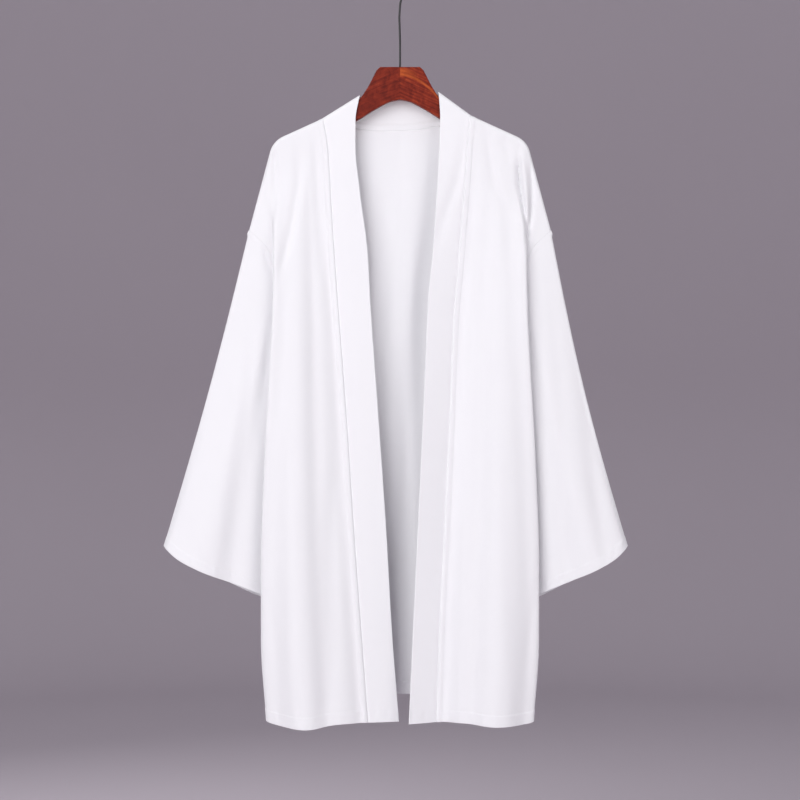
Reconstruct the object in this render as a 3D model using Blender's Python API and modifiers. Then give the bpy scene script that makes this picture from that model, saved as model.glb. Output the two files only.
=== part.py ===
"""Open-front hanfu jacket in thin white cloth, hanging on a wooden hanger with a metal hook.

The origin is the inside of the hook's crown, where a rail carries it. +Z is up, the front faces -Y
and the wearer's left is at +X. The garment's tables are in millimetres: x is the distance out from
the centre line, y is the depth (minus in front) and drop is the distance below the hook's crown.
A panel is read at u, across it, and at v, from the shoulder (0) to the hem (1).
"""

import math

import bmesh
import bpy
import numpy as np

MM = 0.001
RIGHT, LEFT = -1, 1

# Walls and gaps
CLOTH = 1.4
BAND_CLOTH = 2.0
SEAM_GAP = 0.3

# Shoulder line: a straight slope, a round over the hanger's tip, then the dropped shoulder
SLOPE_FROM = (120.0, 227.4)
SLOPE_ANGLE = math.radians(24.5)
SLOPE_LENGTH = 62.0
TIP_RADIUS = 36.0
DROOP_ANGLE = math.radians(75.0)
DROOP_LENGTH = 122.0
SHOULDER_ROUND = 6.0

# Where the front panel's five lengthwise lines lie across it, and where the inner three start on
# the shoulder line
FRONT_U = (0.0, 0.24, 0.50, 0.80, 1.0)
FRONT_SHOULDER = (36.0, 80.0, 135.0)
RISE_SHARE, CROWN_SHARE = 0.30, 0.62
FRONT_HEM_DROP = {
    RIGHT: (1135.5, 1136.5, 1142.0, 1133.0, 1126.0),
    LEFT: (1134.5, 1134.5, 1138.0, 1134.0, 1127.0),
}
UNDERARM_V = 0.33

# Front panel, one row for each level, the same on both sides
FRONT_COLUMNS = ("v", "seam_y", "rise_y", "crown_y", "fold_x", "fold_y", "edge_x", "edge_y")
FRONT_ROWS = (
    (0.00, -8.8, -8.8, -8.8, 205.5, -5.0, 227.8, -4.5),
    (0.04, -9.0, -9.0, -9.5, 197.0, -8.0, 199.0, -6.0),
    (0.08, -9.0, -10.0, -12.0, 190.5, -14.0, 187.5, -6.5),
    (0.15, -9.5, -12.0, -17.0, 190.0, -21.0, 184.0, -6.5),
    (0.25, -10.5, -15.0, -23.0, 191.5, -25.0, 180.0, -6.0),
    (0.33, -12.0, -18.0, -28.0, 194.5, -26.0, 176.0, -5.0),
    (0.50, -14.0, -23.0, -35.0, 202.5, -25.0, 190.0, -8.0),
    (0.70, -17.0, -30.0, -44.0, 207.0, -26.0, 205.0, -13.0),
    (0.85, -20.0, -36.0, -51.0, 206.5, -28.0, 206.0, -14.0),
    (1.00, -22.0, -40.0, -56.0, 198.5, -30.0, 198.0, -14.0),
)

# Collar band in front, one row for each level and a table for each side
BAND_COLUMNS = ("v", "seam_x", "inner_x", "inner_y")
BAND_ROWS = {
    RIGHT: (
        (0.00, 116.0, 60.5, -8.8),
        (0.04, 109.5, 67.0, -9.0),
        (0.08, 106.5, 67.2, -9.0),
        (0.15, 103.0, 61.0, -9.0),
        (0.25, 97.0, 49.0, -9.0),
        (0.33, 91.5, 44.8, -9.5),
        (0.50, 80.0, 33.5, -10.0),
        (0.70, 68.0, 20.5, -11.0),
        (0.85, 58.0, 12.5, -12.0),
        (1.00, 48.0, 1.5, -14.0),
    ),
    LEFT: (
        (0.00, 106.0, 58.0, -8.8),
        (0.04, 101.5, 60.5, -11.0),
        (0.08, 99.0, 59.5, -13.0),
        (0.15, 94.0, 56.2, -17.0),
        (0.25, 87.0, 49.5, -21.0),
        (0.33, 80.5, 42.5, -25.0),
        (0.50, 74.0, 35.3, -31.0),
        (0.70, 65.3, 26.2, -36.0),
        (0.85, 58.5, 19.5, -39.0),
        (1.00, 54.0, 13.0, -42.0),
    ),
}
BAND_TOP_DROP = {RIGHT: 191.0, LEFT: 186.0}
BAND_HEM_DROP = 1135.0

# Collar band behind the neck, from the centre back (0) to the shoulder line (1).
# seam_share and top_share are shares of the x where that edge crosses the shoulder.
NECK_COLUMNS = ("n", "seam_share", "seam_y", "seam_below", "top_share", "top_y", "top_drop")
NECK_ROWS = (
    (0.00, 0.00, 20.0, 18.5, 0.00, 18.5, 189.5),
    (0.35, 0.34, 18.8, 16.5, 0.48, 17.2, 189.5),
    (0.62, 0.62, 16.0, 12.0, 0.82, 14.0, 189.5),
    (0.84, 0.92, 10.2, 6.0, 0.97, 9.0, 189.5),
    (0.93, 0.98, 7.8, 1.4, 0.99, 6.5, 189.3),
    (0.97, 0.995, 4.6, 0.0, 1.00, 3.5, 189.0),
    (1.00, 1.00, 0.0, 0.0, 1.00, 0.0, 189.0),
)

# Back panel, one row for each level; u is 0 at the centre back and 1 at the side
BACK_U = (0.0, 0.25, 0.50, 0.66, 0.82, 1.0)
BACK_SHOULDER = (80.0, 135.0)
BACK_COLUMNS = (
    "v", "centre_y", "mid_x", "mid_y", "neck_x", "neck_y", "tip_x", "tip_y", "fold_x", "fold_y", "edge_y"
)
BACK_ROWS = (
    (0.00, 20.0, 66.0, 15.0, 111.0, 8.8, 189.0, 8.8, 205.5, 5.0, 4.5),
    (0.04, 21.0, 65.0, 17.0, 112.0, 11.5, 178.0, 10.0, 193.0, 8.0, 7.0),
    (0.08, 22.0, 64.0, 19.0, 112.0, 14.5, 166.0, 12.0, 183.0, 10.0, 9.0),
    (0.15, 24.0, 62.0, 22.0, 110.0, 18.0, 153.0, 15.0, 172.0, 11.5, 10.0),
    (0.25, 26.0, 60.0, 24.0, 105.0, 20.0, 143.0, 14.0, 166.0, 7.0, 4.0),
    (0.33, 27.0, 59.0, 26.0, 102.0, 21.0, 139.0, 11.0, 162.0, 1.5, -5.0),
    (0.50, 30.0, 60.0, 28.0, 103.0, 21.0, 141.0, 7.0, 170.0, -3.0, -8.0),
    (0.70, 32.0, 64.0, 33.0, 110.0, 23.0, 148.0, 6.0, 184.0, -3.0, -13.0),
    (0.85, 31.0, 68.0, 38.0, 116.0, 33.0, 154.0, 20.0, 188.0, 5.0, -14.0),
    (1.00, 28.0, 70.0, 42.0, 120.0, 42.0, 156.0, 33.0, 184.0, 12.0, -14.0),
)
BACK_HEM_DROP = (1099.0, 1102.0, 1108.0, 1115.0, 1120.0, 1126.5)

# Cuff opening, once round: a is 0 on the outer fold and 0.5 at the underarm seam
CUFF_COLUMNS = ("a", "x", "y", "drop")
CUFF_ROWS = (
    (0.00, 357.0, 0.0, 872.0),
    (0.03, 353.0, -8.0, 876.0),
    (0.08, 338.0, -16.0, 889.0),
    (0.16, 305.0, -24.0, 906.5),
    (0.25, 262.0, -18.0, 924.0),
    (0.34, 215.0, -4.0, 943.0),
    (0.42, 175.0, 13.0, 963.0),
    (0.47, 145.0, 27.0, 979.0),
    (0.50, 135.0, 34.0, 985.0),
    (0.53, 143.0, 41.0, 981.0),
    (0.60, 180.0, 42.0, 965.0),
    (0.70, 230.0, 32.0, 943.0),
    (0.80, 280.0, 26.0, 919.0),
    (0.90, 330.0, 18.0, 891.0),
    (0.96, 351.0, 9.0, 876.0),
    (1.00, 357.0, 0.0, 872.0),
)
CUFF_SPREAD_FROM = 206.0
CUFF_SPREAD = {RIGHT: 1.0, LEFT: 0.914}

# A sleeve's outer fold hangs inside a straight line by this much, and its underarm seam lies
# further back than one
OUTER_BOW = {RIGHT: 4.5, LEFT: 8.0}
UNDERARM_BOW, UNDERARM_BOW_WIDTH = 10.0, 0.12

# Soft folds that run down a piece: where each lies at its top and at its hem, and how wide it is,
# in u or a, then how far it stands towards the wearer at its top and at its hem
FOLD_COLUMNS = ("at_top", "at_hem", "width", "top_depth", "hem_depth")
FRONT_FOLDS = {
    RIGHT: ((0.10, 0.07, 0.05, 1.0, 2.5), (0.30, 0.34, 0.07, 1.5, 3.5), (0.62, 0.66, 0.08, 2.0, 5.0)),
    LEFT: ((0.12, 0.08, 0.06, 1.5, 3.5), (0.34, 0.30, 0.07, 1.0, 3.0), (0.60, 0.70, 0.07, 2.5, 4.5)),
}
BACK_FOLDS = (
    (-0.42, -0.46, 0.07, 2.0, 7.0),
    (-0.16, -0.20, 0.06, 2.5, 6.0),
    (0.06, 0.10, 0.05, 1.5, 5.0),
    (0.30, 0.33, 0.07, 2.5, 7.0),
    (0.55, 0.52, 0.06, 1.5, 5.0),
)
SLEEVE_FOLDS = {
    RIGHT: ((0.22, 0.27, 0.045, 1.5, 6.0), (0.72, 0.70, 0.05, 1.5, 6.0)),
    LEFT: ((0.20, 0.24, 0.05, 1.0, 4.0), (0.74, 0.66, 0.05, 2.0, 6.0)),
}

# Where each piece's grid has its lines
FRONT_ACROSS = (0, 0.06, 0.12, 0.18, 0.24, 0.31, 0.38, 0.43, 0.48, 0.53, 0.58, 0.65, 0.72, 0.80, 0.87, 0.94, 1)
BACK_ACROSS = (0, 0.1, 0.2, 0.28, 0.35, 0.41, 0.45, 0.475, 0.4875, 0.5,
               0.56, 0.62, 0.64, 0.66, 0.68, 0.70, 0.76, 0.82, 0.91, 1)
BAND_ACROSS = (0, 1 / 3, 2 / 3, 1)
DOWN = (0, 0.0006, 0.002, 0.005, 0.011, 0.03, 0.06, 0.1, 0.15, 0.21, 0.27, 0.31, 0.33,
        0.40, 0.47, 0.54, 0.61, 0.68, 0.75, 0.82, 0.88, 0.94, 1)
SLEEVE_DOWN = (0, 0.05, 0.12, 0.2, 0.29, 0.38, 0.47, 0.56, 0.65, 0.74, 0.83, 0.92, 1)

# How far each edge is drawn in, so that sewn pieces stay a seam gap apart
SIDE_INSET = 0.75
BAND_INSET = 0.5
SHOULDER_INSET = 0.2
NECK_INSET = 0.9
FREE = 0.0

# Hanger
WOOD_THICK = 12.0
WOOD_BEVEL = 2.0
WOOD_UNDER_SHOULDER = 1.5
WOOD_TIP_EXTRA = 2.0
WOOD_TIP_DEEP = 17.0
WOOD_TOP_ROWS = ((0.0, 148.0), (30.0, 148.0), (35.5, 153.0), (52.8, 185.0), (63.0, 198.5), (90.0, 214.6))
WOOD_UNDER_ROWS = ((0.0, 197.5), (12.0, 199.5), (34.0, 210.0), (64.0, 228.5), (110.0, 253.0))

# Hook
WIRE_RADIUS = 1.6
HOOK_RADIUS = 20.0
HOOK_TIP_ANGLE = math.radians(200.0)
HOOK_BEND_RADIUS = 12.0
HOOK_SEAT = 12.0


def smooth_step(t):
    t = np.clip(t, 0.0, 1.0)
    return t * t * (3.0 - 2.0 * t)


def hermite(stations, values, slopes, at):
    """Cubic through values at stations with those slopes, read at the parameters at."""
    at = np.clip(np.asarray(at, float), stations[0], stations[-1])
    k = np.clip(np.searchsorted(stations, at, side="right") - 1, 0, len(stations) - 2)
    span = stations[k + 1] - stations[k]
    t = (at - stations[k]) / span
    if values.ndim > 1:
        t, span = t[..., None], span[..., None]
    a = (2 * t**3 - 3 * t**2 + 1) * values[k] + (t**3 - 2 * t**2 + t) * span * slopes[k]
    return a + (3 * t**2 - 2 * t**3) * values[k + 1] + (t**3 - t**2) * span * slopes[k + 1]


def flowing(stations, values, at):
    """A rounded curve through values, for a section across the cloth."""
    stations, values = np.asarray(stations, float), np.asarray(values, float)
    return hermite(stations, values, np.gradient(values, stations, axis=0), at)


def steady(stations, values, at):
    """A curve through values that never overshoots them, for a line down the cloth."""
    stations, values = np.asarray(stations, float), np.asarray(values, float)
    secant = np.diff(values, axis=0) / np.diff(stations).reshape([-1] + [1] * (values.ndim - 1))
    product = secant[:-1] * secant[1:]
    total = np.where(product > 0, secant[:-1] + secant[1:], 1.0)
    inner = np.where(product > 0, 2 * product / total, 0.0)
    return hermite(stations, values, np.concatenate([secant[:1], inner, secant[-1:]]), at)


def column(rows, columns, name, v):
    """One named column of a table, read at the levels v."""
    table = np.array(rows)
    return steady(table[:, 0], table[:, columns.index(name)], v)


def shoulder_at(r):
    """(x, drop) on the shoulder line, r from where its straight slope starts."""
    r = np.asarray(r, float)
    turn = DROOP_ANGLE - SLOPE_ANGLE
    on_slope = np.minimum(r, SLOPE_LENGTH)
    on_arc = np.clip(r - SLOPE_LENGTH, 0.0, TIP_RADIUS * turn)
    on_droop = np.maximum(r - SLOPE_LENGTH - TIP_RADIUS * turn, 0.0)
    heading = SLOPE_ANGLE + on_arc / TIP_RADIUS
    x = SLOPE_FROM[0] + on_slope * math.cos(SLOPE_ANGLE)
    x = x + TIP_RADIUS * (np.sin(heading) - math.sin(SLOPE_ANGLE)) + on_droop * math.cos(DROOP_ANGLE)
    drop = SLOPE_FROM[1] + on_slope * math.sin(SLOPE_ANGLE)
    drop = drop + TIP_RADIUS * (math.cos(SLOPE_ANGLE) - np.cos(heading)) + on_droop * math.sin(DROOP_ANGLE)
    return x, drop


SHOULDER_LENGTH = SLOPE_LENGTH + TIP_RADIUS * (DROOP_ANGLE - SLOPE_ANGLE) + DROOP_LENGTH


def seam_start(side):
    """r where the collar band's seam crosses the shoulder line."""
    return (BAND_ROWS[side][0][1] - SLOPE_FROM[0]) / math.cos(SLOPE_ANGLE)


def below_shoulder(x, drop):
    """Distance from the shoulder line, square to it."""
    to_slope = (drop - SLOPE_FROM[1]) * math.cos(SLOPE_ANGLE) - (x - SLOPE_FROM[0]) * math.sin(SLOPE_ANGLE)
    end_x, end_drop = shoulder_at(SHOULDER_LENGTH)
    to_droop = (drop - end_drop) * math.cos(DROOP_ANGLE) - (x - end_x) * math.sin(DROOP_ANGLE)
    corner_x, corner_drop = shoulder_at(SLOPE_LENGTH)
    centre_x = corner_x - TIP_RADIUS * math.sin(SLOPE_ANGLE)
    centre_drop = corner_drop + TIP_RADIUS * math.cos(SLOPE_ANGLE)
    away = np.hypot(x - centre_x, drop - centre_drop)
    lean = np.arctan2(x - centre_x, centre_drop - drop)
    in_arc = (lean > SLOPE_ANGLE) & (lean < DROOP_ANGLE)
    return np.maximum(np.where(in_arc, TIP_RADIUS - away, np.minimum(to_slope, to_droop)), 0.0)


def rounded_over(distance):
    """0 on the shoulder line, rising to 1 where the cloth hangs: the cloth's turn over the top."""
    t = np.clip(distance / SHOULDER_ROUND, 0.0, 1.0)
    return (1.0 - (1.0 - t) ** 3) ** (1.0 / 3.0)


def fold_depth(folds, u, v):
    """Sum of the soft folds at u and v."""
    depth = np.zeros(np.broadcast(u, v).shape)
    for row in folds:
        fold = dict(zip(FOLD_COLUMNS, row))
        away = (u - (fold["at_top"] * (1 - v) + fold["at_hem"] * v)) / fold["width"]
        depth = depth + (fold["top_depth"] * (1 - v) + fold["hem_depth"] * v) * np.exp(-away * away)
    return depth


def front_panel(side, u, v):
    """Points (x, y, drop) of a front panel on the grid of u by v."""
    v = np.concatenate([[0.0], v])
    table = {name: column(FRONT_ROWS, FRONT_COLUMNS, name, v) for name in FRONT_COLUMNS[1:]}
    seam_x = column(BAND_ROWS[side], BAND_COLUMNS, "seam_x", v)
    across = table["fold_x"] - seam_x
    lines_x = (seam_x, seam_x + RISE_SHARE * across, seam_x + CROWN_SHARE * across, table["fold_x"], table["edge_x"])
    lines_y = (table["seam_y"], table["rise_y"], table["crown_y"], table["fold_y"], table["edge_y"])
    x = flowing(FRONT_U, np.array(lines_x), u)
    y = flowing(FRONT_U, np.array(lines_y), u)
    starts = (seam_start(side), *FRONT_SHOULDER, SHOULDER_LENGTH)
    top_x, top_drop = shoulder_at(steady(FRONT_U, starts, u))
    hem = flowing(FRONT_U, FRONT_HEM_DROP[side], u)
    u, v = u[:, None], v[None, :]
    drop = top_drop[:, None] * (1 - v) + hem[:, None] * v
    x = x + (top_x[:, None] - x[:, :1]) * (1 - smooth_step(v / 0.08))
    settle = smooth_step(v / 0.15) * smooth_step(np.minimum(u, 1 - u) / 0.06)
    y = y + fold_depth(FRONT_FOLDS[side], u, v) * settle
    return np.stack([x, y * rounded_over(below_shoulder(x, drop)), drop], axis=-1)[:, 1:]


def neck_line(side, n, edge):
    """Points of the collar band's seam or top edge behind the neck, n from the centre to the shoulder."""
    stations = [row[0] for row in NECK_ROWS]
    table = {name: flowing(stations, [row[k] for row in NECK_ROWS], n) for k, name in enumerate(NECK_COLUMNS)}
    lines = {}
    for each in (RIGHT, LEFT):
        end_x, end_drop = shoulder_at(seam_start(each))
        if edge == "seam":
            line = (table["seam_share"] * end_x, table["seam_y"], end_drop + table["seam_below"])
        else:
            rise = (BAND_TOP_DROP[each] - NECK_ROWS[-1][6]) * smooth_step(n)
            line = (table["top_share"] * BAND_ROWS[each][0][2], table["top_y"], table["top_drop"] + rise)
        lines[each] = np.stack(line, axis=-1)
    own = smooth_step(n / 0.6)[:, None]
    return lines[side] * own + (lines[RIGHT] + lines[LEFT]) / 2 * (1 - own)


def back_half(side, u, v):
    """Points of one half of the back panel, u from the centre back to the side."""
    v = np.concatenate([[0.0], v])
    table = {name: column(BACK_ROWS, BACK_COLUMNS, name, v) for name in BACK_COLUMNS[1:]}
    edge_x = column(FRONT_ROWS, FRONT_COLUMNS, "edge_x", v)
    lines_x = (0 * v, table["mid_x"], table["neck_x"], table["tip_x"], table["fold_x"], edge_x)
    lines_y = tuple(table[name] for name in ("centre_y", "mid_y", "neck_y", "tip_y", "fold_y", "edge_y"))
    x = flowing(BACK_U, np.array(lines_x), u)
    y = flowing(BACK_U, np.array(lines_y), u)
    neck_u = BACK_U[2]
    in_neck = u < neck_u
    on_neck = neck_line(side, np.minimum(u / neck_u, 1), "seam")
    starts = (seam_start(side), *BACK_SHOULDER, SHOULDER_LENGTH)
    line_x, line_drop = shoulder_at(steady(BACK_U[2:], starts, np.maximum(u, neck_u)))
    top = np.where(in_neck[:, None], on_neck, np.stack([line_x, 0 * u, line_drop], axis=-1))
    hem = steady(BACK_U, BACK_HEM_DROP, u)
    u, v = u[:, None], v[None, :]
    drop = top[:, 2:] * (1 - v) + hem[:, None] * v
    x = x + (top[:, :1] - x[:, :1]) * (1 - smooth_step(v / 0.08))
    settle = smooth_step(v / 0.15) * smooth_step((1 - u) / 0.06)
    y = y - fold_depth(BACK_FOLDS, side * u, v) * settle
    below = np.where(in_neck[:, None], drop - top[:, 2:], below_shoulder(x, drop))
    y = top[:, 1:2] + (y - top[:, 1:2]) * rounded_over(below)
    return np.stack([x, y, drop], axis=-1)[:, 1:]


def band_front(side, t, v):
    """Points of the collar band in front, t from its seam to its free edge."""
    seam = front_panel(side, np.array([0.0]), v)[0]
    inner_x = column(BAND_ROWS[side], BAND_COLUMNS, "inner_x", v)
    inner_y = column(BAND_ROWS[side], BAND_COLUMNS, "inner_y", v)
    inner_drop = BAND_TOP_DROP[side] * (1 - v) + BAND_HEM_DROP * v
    inner_y = inner_y * rounded_over(inner_drop - BAND_TOP_DROP[side])
    inner = np.stack([inner_x, inner_y, inner_drop], axis=-1)
    return seam[None] + (inner - seam)[None] * t[:, None, None]


def band_neck(n, t):
    """Points of the collar band behind the neck, n from -1 on the right shoulder to 1 on the left."""
    on_left = (n > 0)[:, None]
    n = np.abs(n)
    seam = np.where(on_left, neck_line(LEFT, n, "seam"), neck_line(RIGHT, n, "seam") * (-1, 1, 1))
    top = np.where(on_left, neck_line(LEFT, n, "top"), neck_line(RIGHT, n, "top") * (-1, 1, 1))
    return seam[:, None] + (top - seam)[:, None] * t[None, :, None]


def armhole(side, a):
    """Points round the armhole: down the front seam to the underarm, then up the back seam."""
    front = a <= 0.5
    v = UNDERARM_V * 2 * np.where(front, a, 1 - a)
    ahead, behind = front_panel(side, np.ones(1), v)[0], back_half(side, np.ones(1), v)[0]
    near_underarm = np.exp(-(((a - 0.5) / 0.06) ** 2))
    near_top = np.exp(-((np.minimum(a, 1 - a) / 0.03) ** 2))
    ahead = ahead + np.stack([0.6 + 0 * a, 1.3 * (1 - near_top), 0 * a], axis=-1)
    behind = behind + np.stack([0.3 + 0.9 * near_underarm, 2.2 * near_underarm, 0 * a], axis=-1)
    points = np.where(front[:, None], ahead, behind)
    points[:, 2] += 0.5 * near_top
    return points


def cuff(side, a):
    """Points round the cuff opening."""
    stations = [row[0] for row in CUFF_ROWS]
    table = {name: flowing(stations, [row[k] for row in CUFF_ROWS], a) for k, name in enumerate(CUFF_COLUMNS)}
    out = table["x"] - CUFF_SPREAD_FROM
    x = CUFF_SPREAD_FROM + out * np.where(out > 0, CUFF_SPREAD[side], 1.0)
    return np.stack([x, table["y"], table["drop"]], axis=-1)


def sleeve(side, a, w):
    """Points of a sleeve: a runs round it and w from the armhole to the cuff."""
    top, bottom = armhole(side, a), cuff(side, a)
    points = top[:, None] + (bottom - top)[:, None] * w[None, :, None]
    hang = np.sin(np.pi * w)[None, :]
    points[..., 0] -= OUTER_BOW[side] * (np.cos(np.pi * a) ** 2)[:, None] * hang
    bow = UNDERARM_BOW * np.exp(-(((a - 0.5) / UNDERARM_BOW_WIDTH) ** 2))
    points[..., 1] += bow[:, None] * hang
    inward = np.where(a < 0.5, 1.0, -1.0)[:, None]
    settle = smooth_step(w / 0.25)[None, :]
    points[..., 1] += inward * fold_depth(SLEEVE_FOLDS[side], a[:, None], w[None, :]) * settle
    return points


def placed(side, points):
    """Points in metres in the part's frame, from (x, y, drop) in millimetres on one side."""
    return points * np.array([side, 1.0, -1.0]) * MM


def inset(points, start=(0.0, 0.0), end=(0.0, 0.0)):
    """Draws in the edges of a grid of points by lengths in millimetres, for the seam gaps."""
    points = points.copy()
    for axis, amounts in enumerate((start, end)):
        grid = np.moveaxis(points, axis, 0)
        for edge, inner, amount in ((0, 1, amounts[0]), (-1, -2, amounts[1])):
            way = grid[inner] - grid[edge]
            length = np.maximum(np.linalg.norm(way, axis=-1, keepdims=True), 1e-9)
            grid[edge] += way * np.minimum(amount * MM / length, 0.45)
    return points


def cloth_object(name, points, thickness, material, closed=False):
    """A panel from a grid of points, given its wall by Solidify."""
    across, down = points.shape[:2]
    mesh = bpy.data.meshes.new(name)
    last = across if closed else across - 1
    faces = [
        (i * down + j, i * down + j + 1, (i + 1) % across * down + j + 1, (i + 1) % across * down + j)
        for i in range(last)
        for j in range(down - 1)
    ]
    mesh.from_pydata(points.reshape(-1, 3).tolist(), [], faces)
    mesh.materials.append(material)
    obj = bpy.data.objects.new(name, mesh)
    jacket.objects.link(obj)
    wall = obj.modifiers.new("wall", "SOLIDIFY")
    wall.thickness = thickness * MM
    wall.offset = 0.0
    wall.use_even_offset = False
    mesh.shade_smooth()
    return obj


def material_named(name, colour, roughness, metallic=0.0):
    material = bpy.data.materials.new(name)
    material.use_nodes = True
    shader = material.node_tree.nodes["Principled BSDF"]
    shader.inputs["Base Color"].default_value = (*colour, 1.0)
    shader.inputs["Roughness"].default_value = roughness
    shader.inputs["Metallic"].default_value = metallic
    return material


def make_fronts(cloth, band_cloth):
    """Both front panels and the collar band on each of them."""
    u, v, t = np.array(FRONT_ACROSS), np.array(DOWN), np.array(BAND_ACROSS)
    for side, name in ((RIGHT, "right"), (LEFT, "left")):
        panel = placed(side, front_panel(side, u, v))
        panel = inset(panel, (BAND_INSET, SIDE_INSET), (SHOULDER_INSET, FREE))
        cloth_object(f"{name}_front", turned(side, panel), CLOTH, cloth)
        band = placed(side, band_front(side, t, v))
        band = inset(band, (BAND_INSET, FREE), (SHOULDER_INSET, FREE))
        cloth_object(f"{name}_band", turned(-side, band), BAND_CLOTH, band_cloth)


def turned(side, points):
    """Keeps a mirrored grid's faces pointing out."""
    return points if side > 0 else points[::-1]


def make_back(cloth):
    u, v = np.array(BACK_ACROSS), np.array(DOWN)
    right, left = placed(RIGHT, back_half(RIGHT, u, v)), placed(LEFT, back_half(LEFT, u, v))
    centre = (right[:1] + left[:1]) / 2
    points = np.concatenate([right[:0:-1], centre, left[1:]])
    points = inset(points, (SIDE_INSET, SIDE_INSET), (SHOULDER_INSET, FREE))
    cloth_object("back", points[::-1], CLOTH, cloth)


def make_neck_band(band_cloth):
    half = np.array([u for u in BACK_ACROSS if u <= BACK_U[2]]) / BACK_U[2]
    n = np.concatenate([-half[:0:-1], half])
    points = band_neck(n, np.array(BAND_ACROSS)) * np.array([1.0, 1.0, -1.0]) * MM
    points = inset(points, (SHOULDER_INSET, SHOULDER_INSET), (NECK_INSET, FREE))
    cloth_object("neck_band", points, BAND_CLOTH, band_cloth)


def make_sleeves(cloth):
    """Both sleeves, with a point on the armhole wherever a panel's grid has one."""
    down_front = np.array([v for v in DOWN if v <= UNDERARM_V]) / UNDERARM_V / 2
    a = np.concatenate([down_front, 1 - down_front[-2:0:-1]])
    w = np.array(SLEEVE_DOWN)
    for side, name in ((RIGHT, "right"), (LEFT, "left")):
        points = placed(side, sleeve(side, a, w))
        cloth_object(f"{name}_sleeve", turned(-side, points), CLOTH, cloth, closed=True)


def wood_arm():
    """Points (x, drop) along the top edge of the wooden arm, out to its tip."""
    points = []
    for r in (-14.0, 10.0, 35.0, SLOPE_LENGTH, 70.0, 77.0, 83.0):
        x, drop = shoulder_at(r)
        heading = SLOPE_ANGLE + max(r - SLOPE_LENGTH, 0.0) / TIP_RADIUS
        below = WOOD_UNDER_SHOULDER + WOOD_TIP_EXTRA * max(r - SLOPE_LENGTH, 0.0) / 21.0
        points.append((float(x) - below * math.sin(heading), float(drop) + below * math.cos(heading)))
    return points


def make_hanger(wood):
    """The wooden bar: one flat outline, extruded and bevelled."""
    arm = wood_arm()
    tip_x, tip_drop = arm[-1]
    tip = [(tip_x + 1.5, tip_drop + WOOD_TIP_DEEP * 0.55), (tip_x - 6.0, tip_drop + WOOD_TIP_DEEP)]
    half = list(WOOD_TOP_ROWS[1:]) + arm + tip + list(WOOD_UNDER_ROWS[::-1])
    outline = half + [(-x, drop) for x, drop in half[-2::-1]]
    mesh = bpy.data.meshes.new("hanger")
    bm = bmesh.new()
    front = [bm.verts.new((x * MM, -WOOD_THICK / 2 * MM, -drop * MM)) for x, drop in outline]
    back = [bm.verts.new((x * MM, WOOD_THICK / 2 * MM, -drop * MM)) for x, drop in outline]
    bm.faces.new(front)
    bm.faces.new(back[::-1])
    for k, start in enumerate(front):
        after = (k + 1) % len(front)
        bm.faces.new((start, back[k], back[after], front[after]))
    bmesh.ops.recalc_face_normals(bm, faces=bm.faces)
    bm.to_mesh(mesh)
    bm.free()
    mesh.materials.append(wood)
    bar = bpy.data.objects.new("hanger", mesh)
    jacket.objects.link(bar)
    edge = bar.modifiers.new("rounded edges", "BEVEL")
    edge.width = WOOD_BEVEL * MM
    edge.segments = 2
    edge.limit_method = "ANGLE"
    edge.angle_limit = math.radians(50)
    hole = bar.modifiers.new("hook socket", "BOOLEAN")
    hole.operation = "DIFFERENCE"
    hole.object = bore_cutter()


def bore_cutter():
    """The hole in the wood that the hook's end sits in."""
    mesh = bpy.data.meshes.new("hook_bore")
    bm = bmesh.new()
    bmesh.ops.create_cone(
        bm, cap_ends=True, segments=16, radius1=(WIRE_RADIUS + SEAM_GAP) * MM,
        radius2=(WIRE_RADIUS + SEAM_GAP) * MM, depth=2 * (HOOK_SEAT + SEAM_GAP) * MM,
    )
    bm.to_mesh(mesh)
    bm.free()
    cutter = bpy.data.objects.new("hook_bore", mesh)
    cutter.location = (0.0, 0.0, -WOOD_TOP_ROWS[0][1] * MM)
    cutter.hide_render = True
    cutter.display_type = "WIRE"
    cutters.objects.link(cutter)
    return cutter


def make_hook(steel):
    """Straight stem, a small bend out, then the round hook over the rail."""
    centre_drop = HOOK_RADIUS - WIRE_RADIUS
    start = math.radians(-62.0)
    join = (HOOK_RADIUS * math.cos(start), -centre_drop + HOOK_RADIUS * math.sin(start))
    bend_foot = join[1] - HOOK_BEND_RADIUS
    path = [(0.0, -(WOOD_TOP_ROWS[0][1] + HOOK_SEAT)), (0.0, bend_foot - 60.0), (0.0, bend_foot - 6.0)]
    path += [(0.6, bend_foot - 2.0), (join[0] * 0.42, join[1] - 5.6), (join[0] * 0.80, join[1] - 2.0)]
    for angle in np.linspace(start, HOOK_TIP_ANGLE, 22):
        path.append((HOOK_RADIUS * math.cos(angle), -centre_drop + HOOK_RADIUS * math.sin(angle)))
    curve = bpy.data.curves.new("hook", "CURVE")
    curve.dimensions = "3D"
    curve.bevel_depth = WIRE_RADIUS * MM
    curve.bevel_resolution = 2
    curve.use_fill_caps = True
    spline = curve.splines.new("POLY")
    spline.points.add(len(path) - 1)
    for point, (x, z) in zip(spline.points, path):
        point.co = (x * MM, 0.0, z * MM, 1.0)
    curve.materials.append(steel)
    jacket.objects.link(bpy.data.objects.new("hook", curve))


for old in list(bpy.data.objects):
    bpy.data.objects.remove(old)
jacket = bpy.data.collections.new("hanfu_jacket")
cutters = bpy.data.collections.new("cutters")
bpy.context.scene.collection.children.link(jacket)
bpy.context.scene.collection.children.link(cutters)

white = material_named("white_cloth", (0.93, 0.93, 0.95), 0.75)
band_white = material_named("white_band", (0.95, 0.95, 0.97), 0.7)
red_wood = material_named("red_wood", (0.30, 0.055, 0.025), 0.3)
black_steel = material_named("black_steel", (0.01, 0.01, 0.012), 0.35, 1.0)

make_fronts(white, band_white)
make_back(white)
make_neck_band(band_white)
make_sleeves(white)
make_hanger(red_wood)
make_hook(black_steel)
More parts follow.
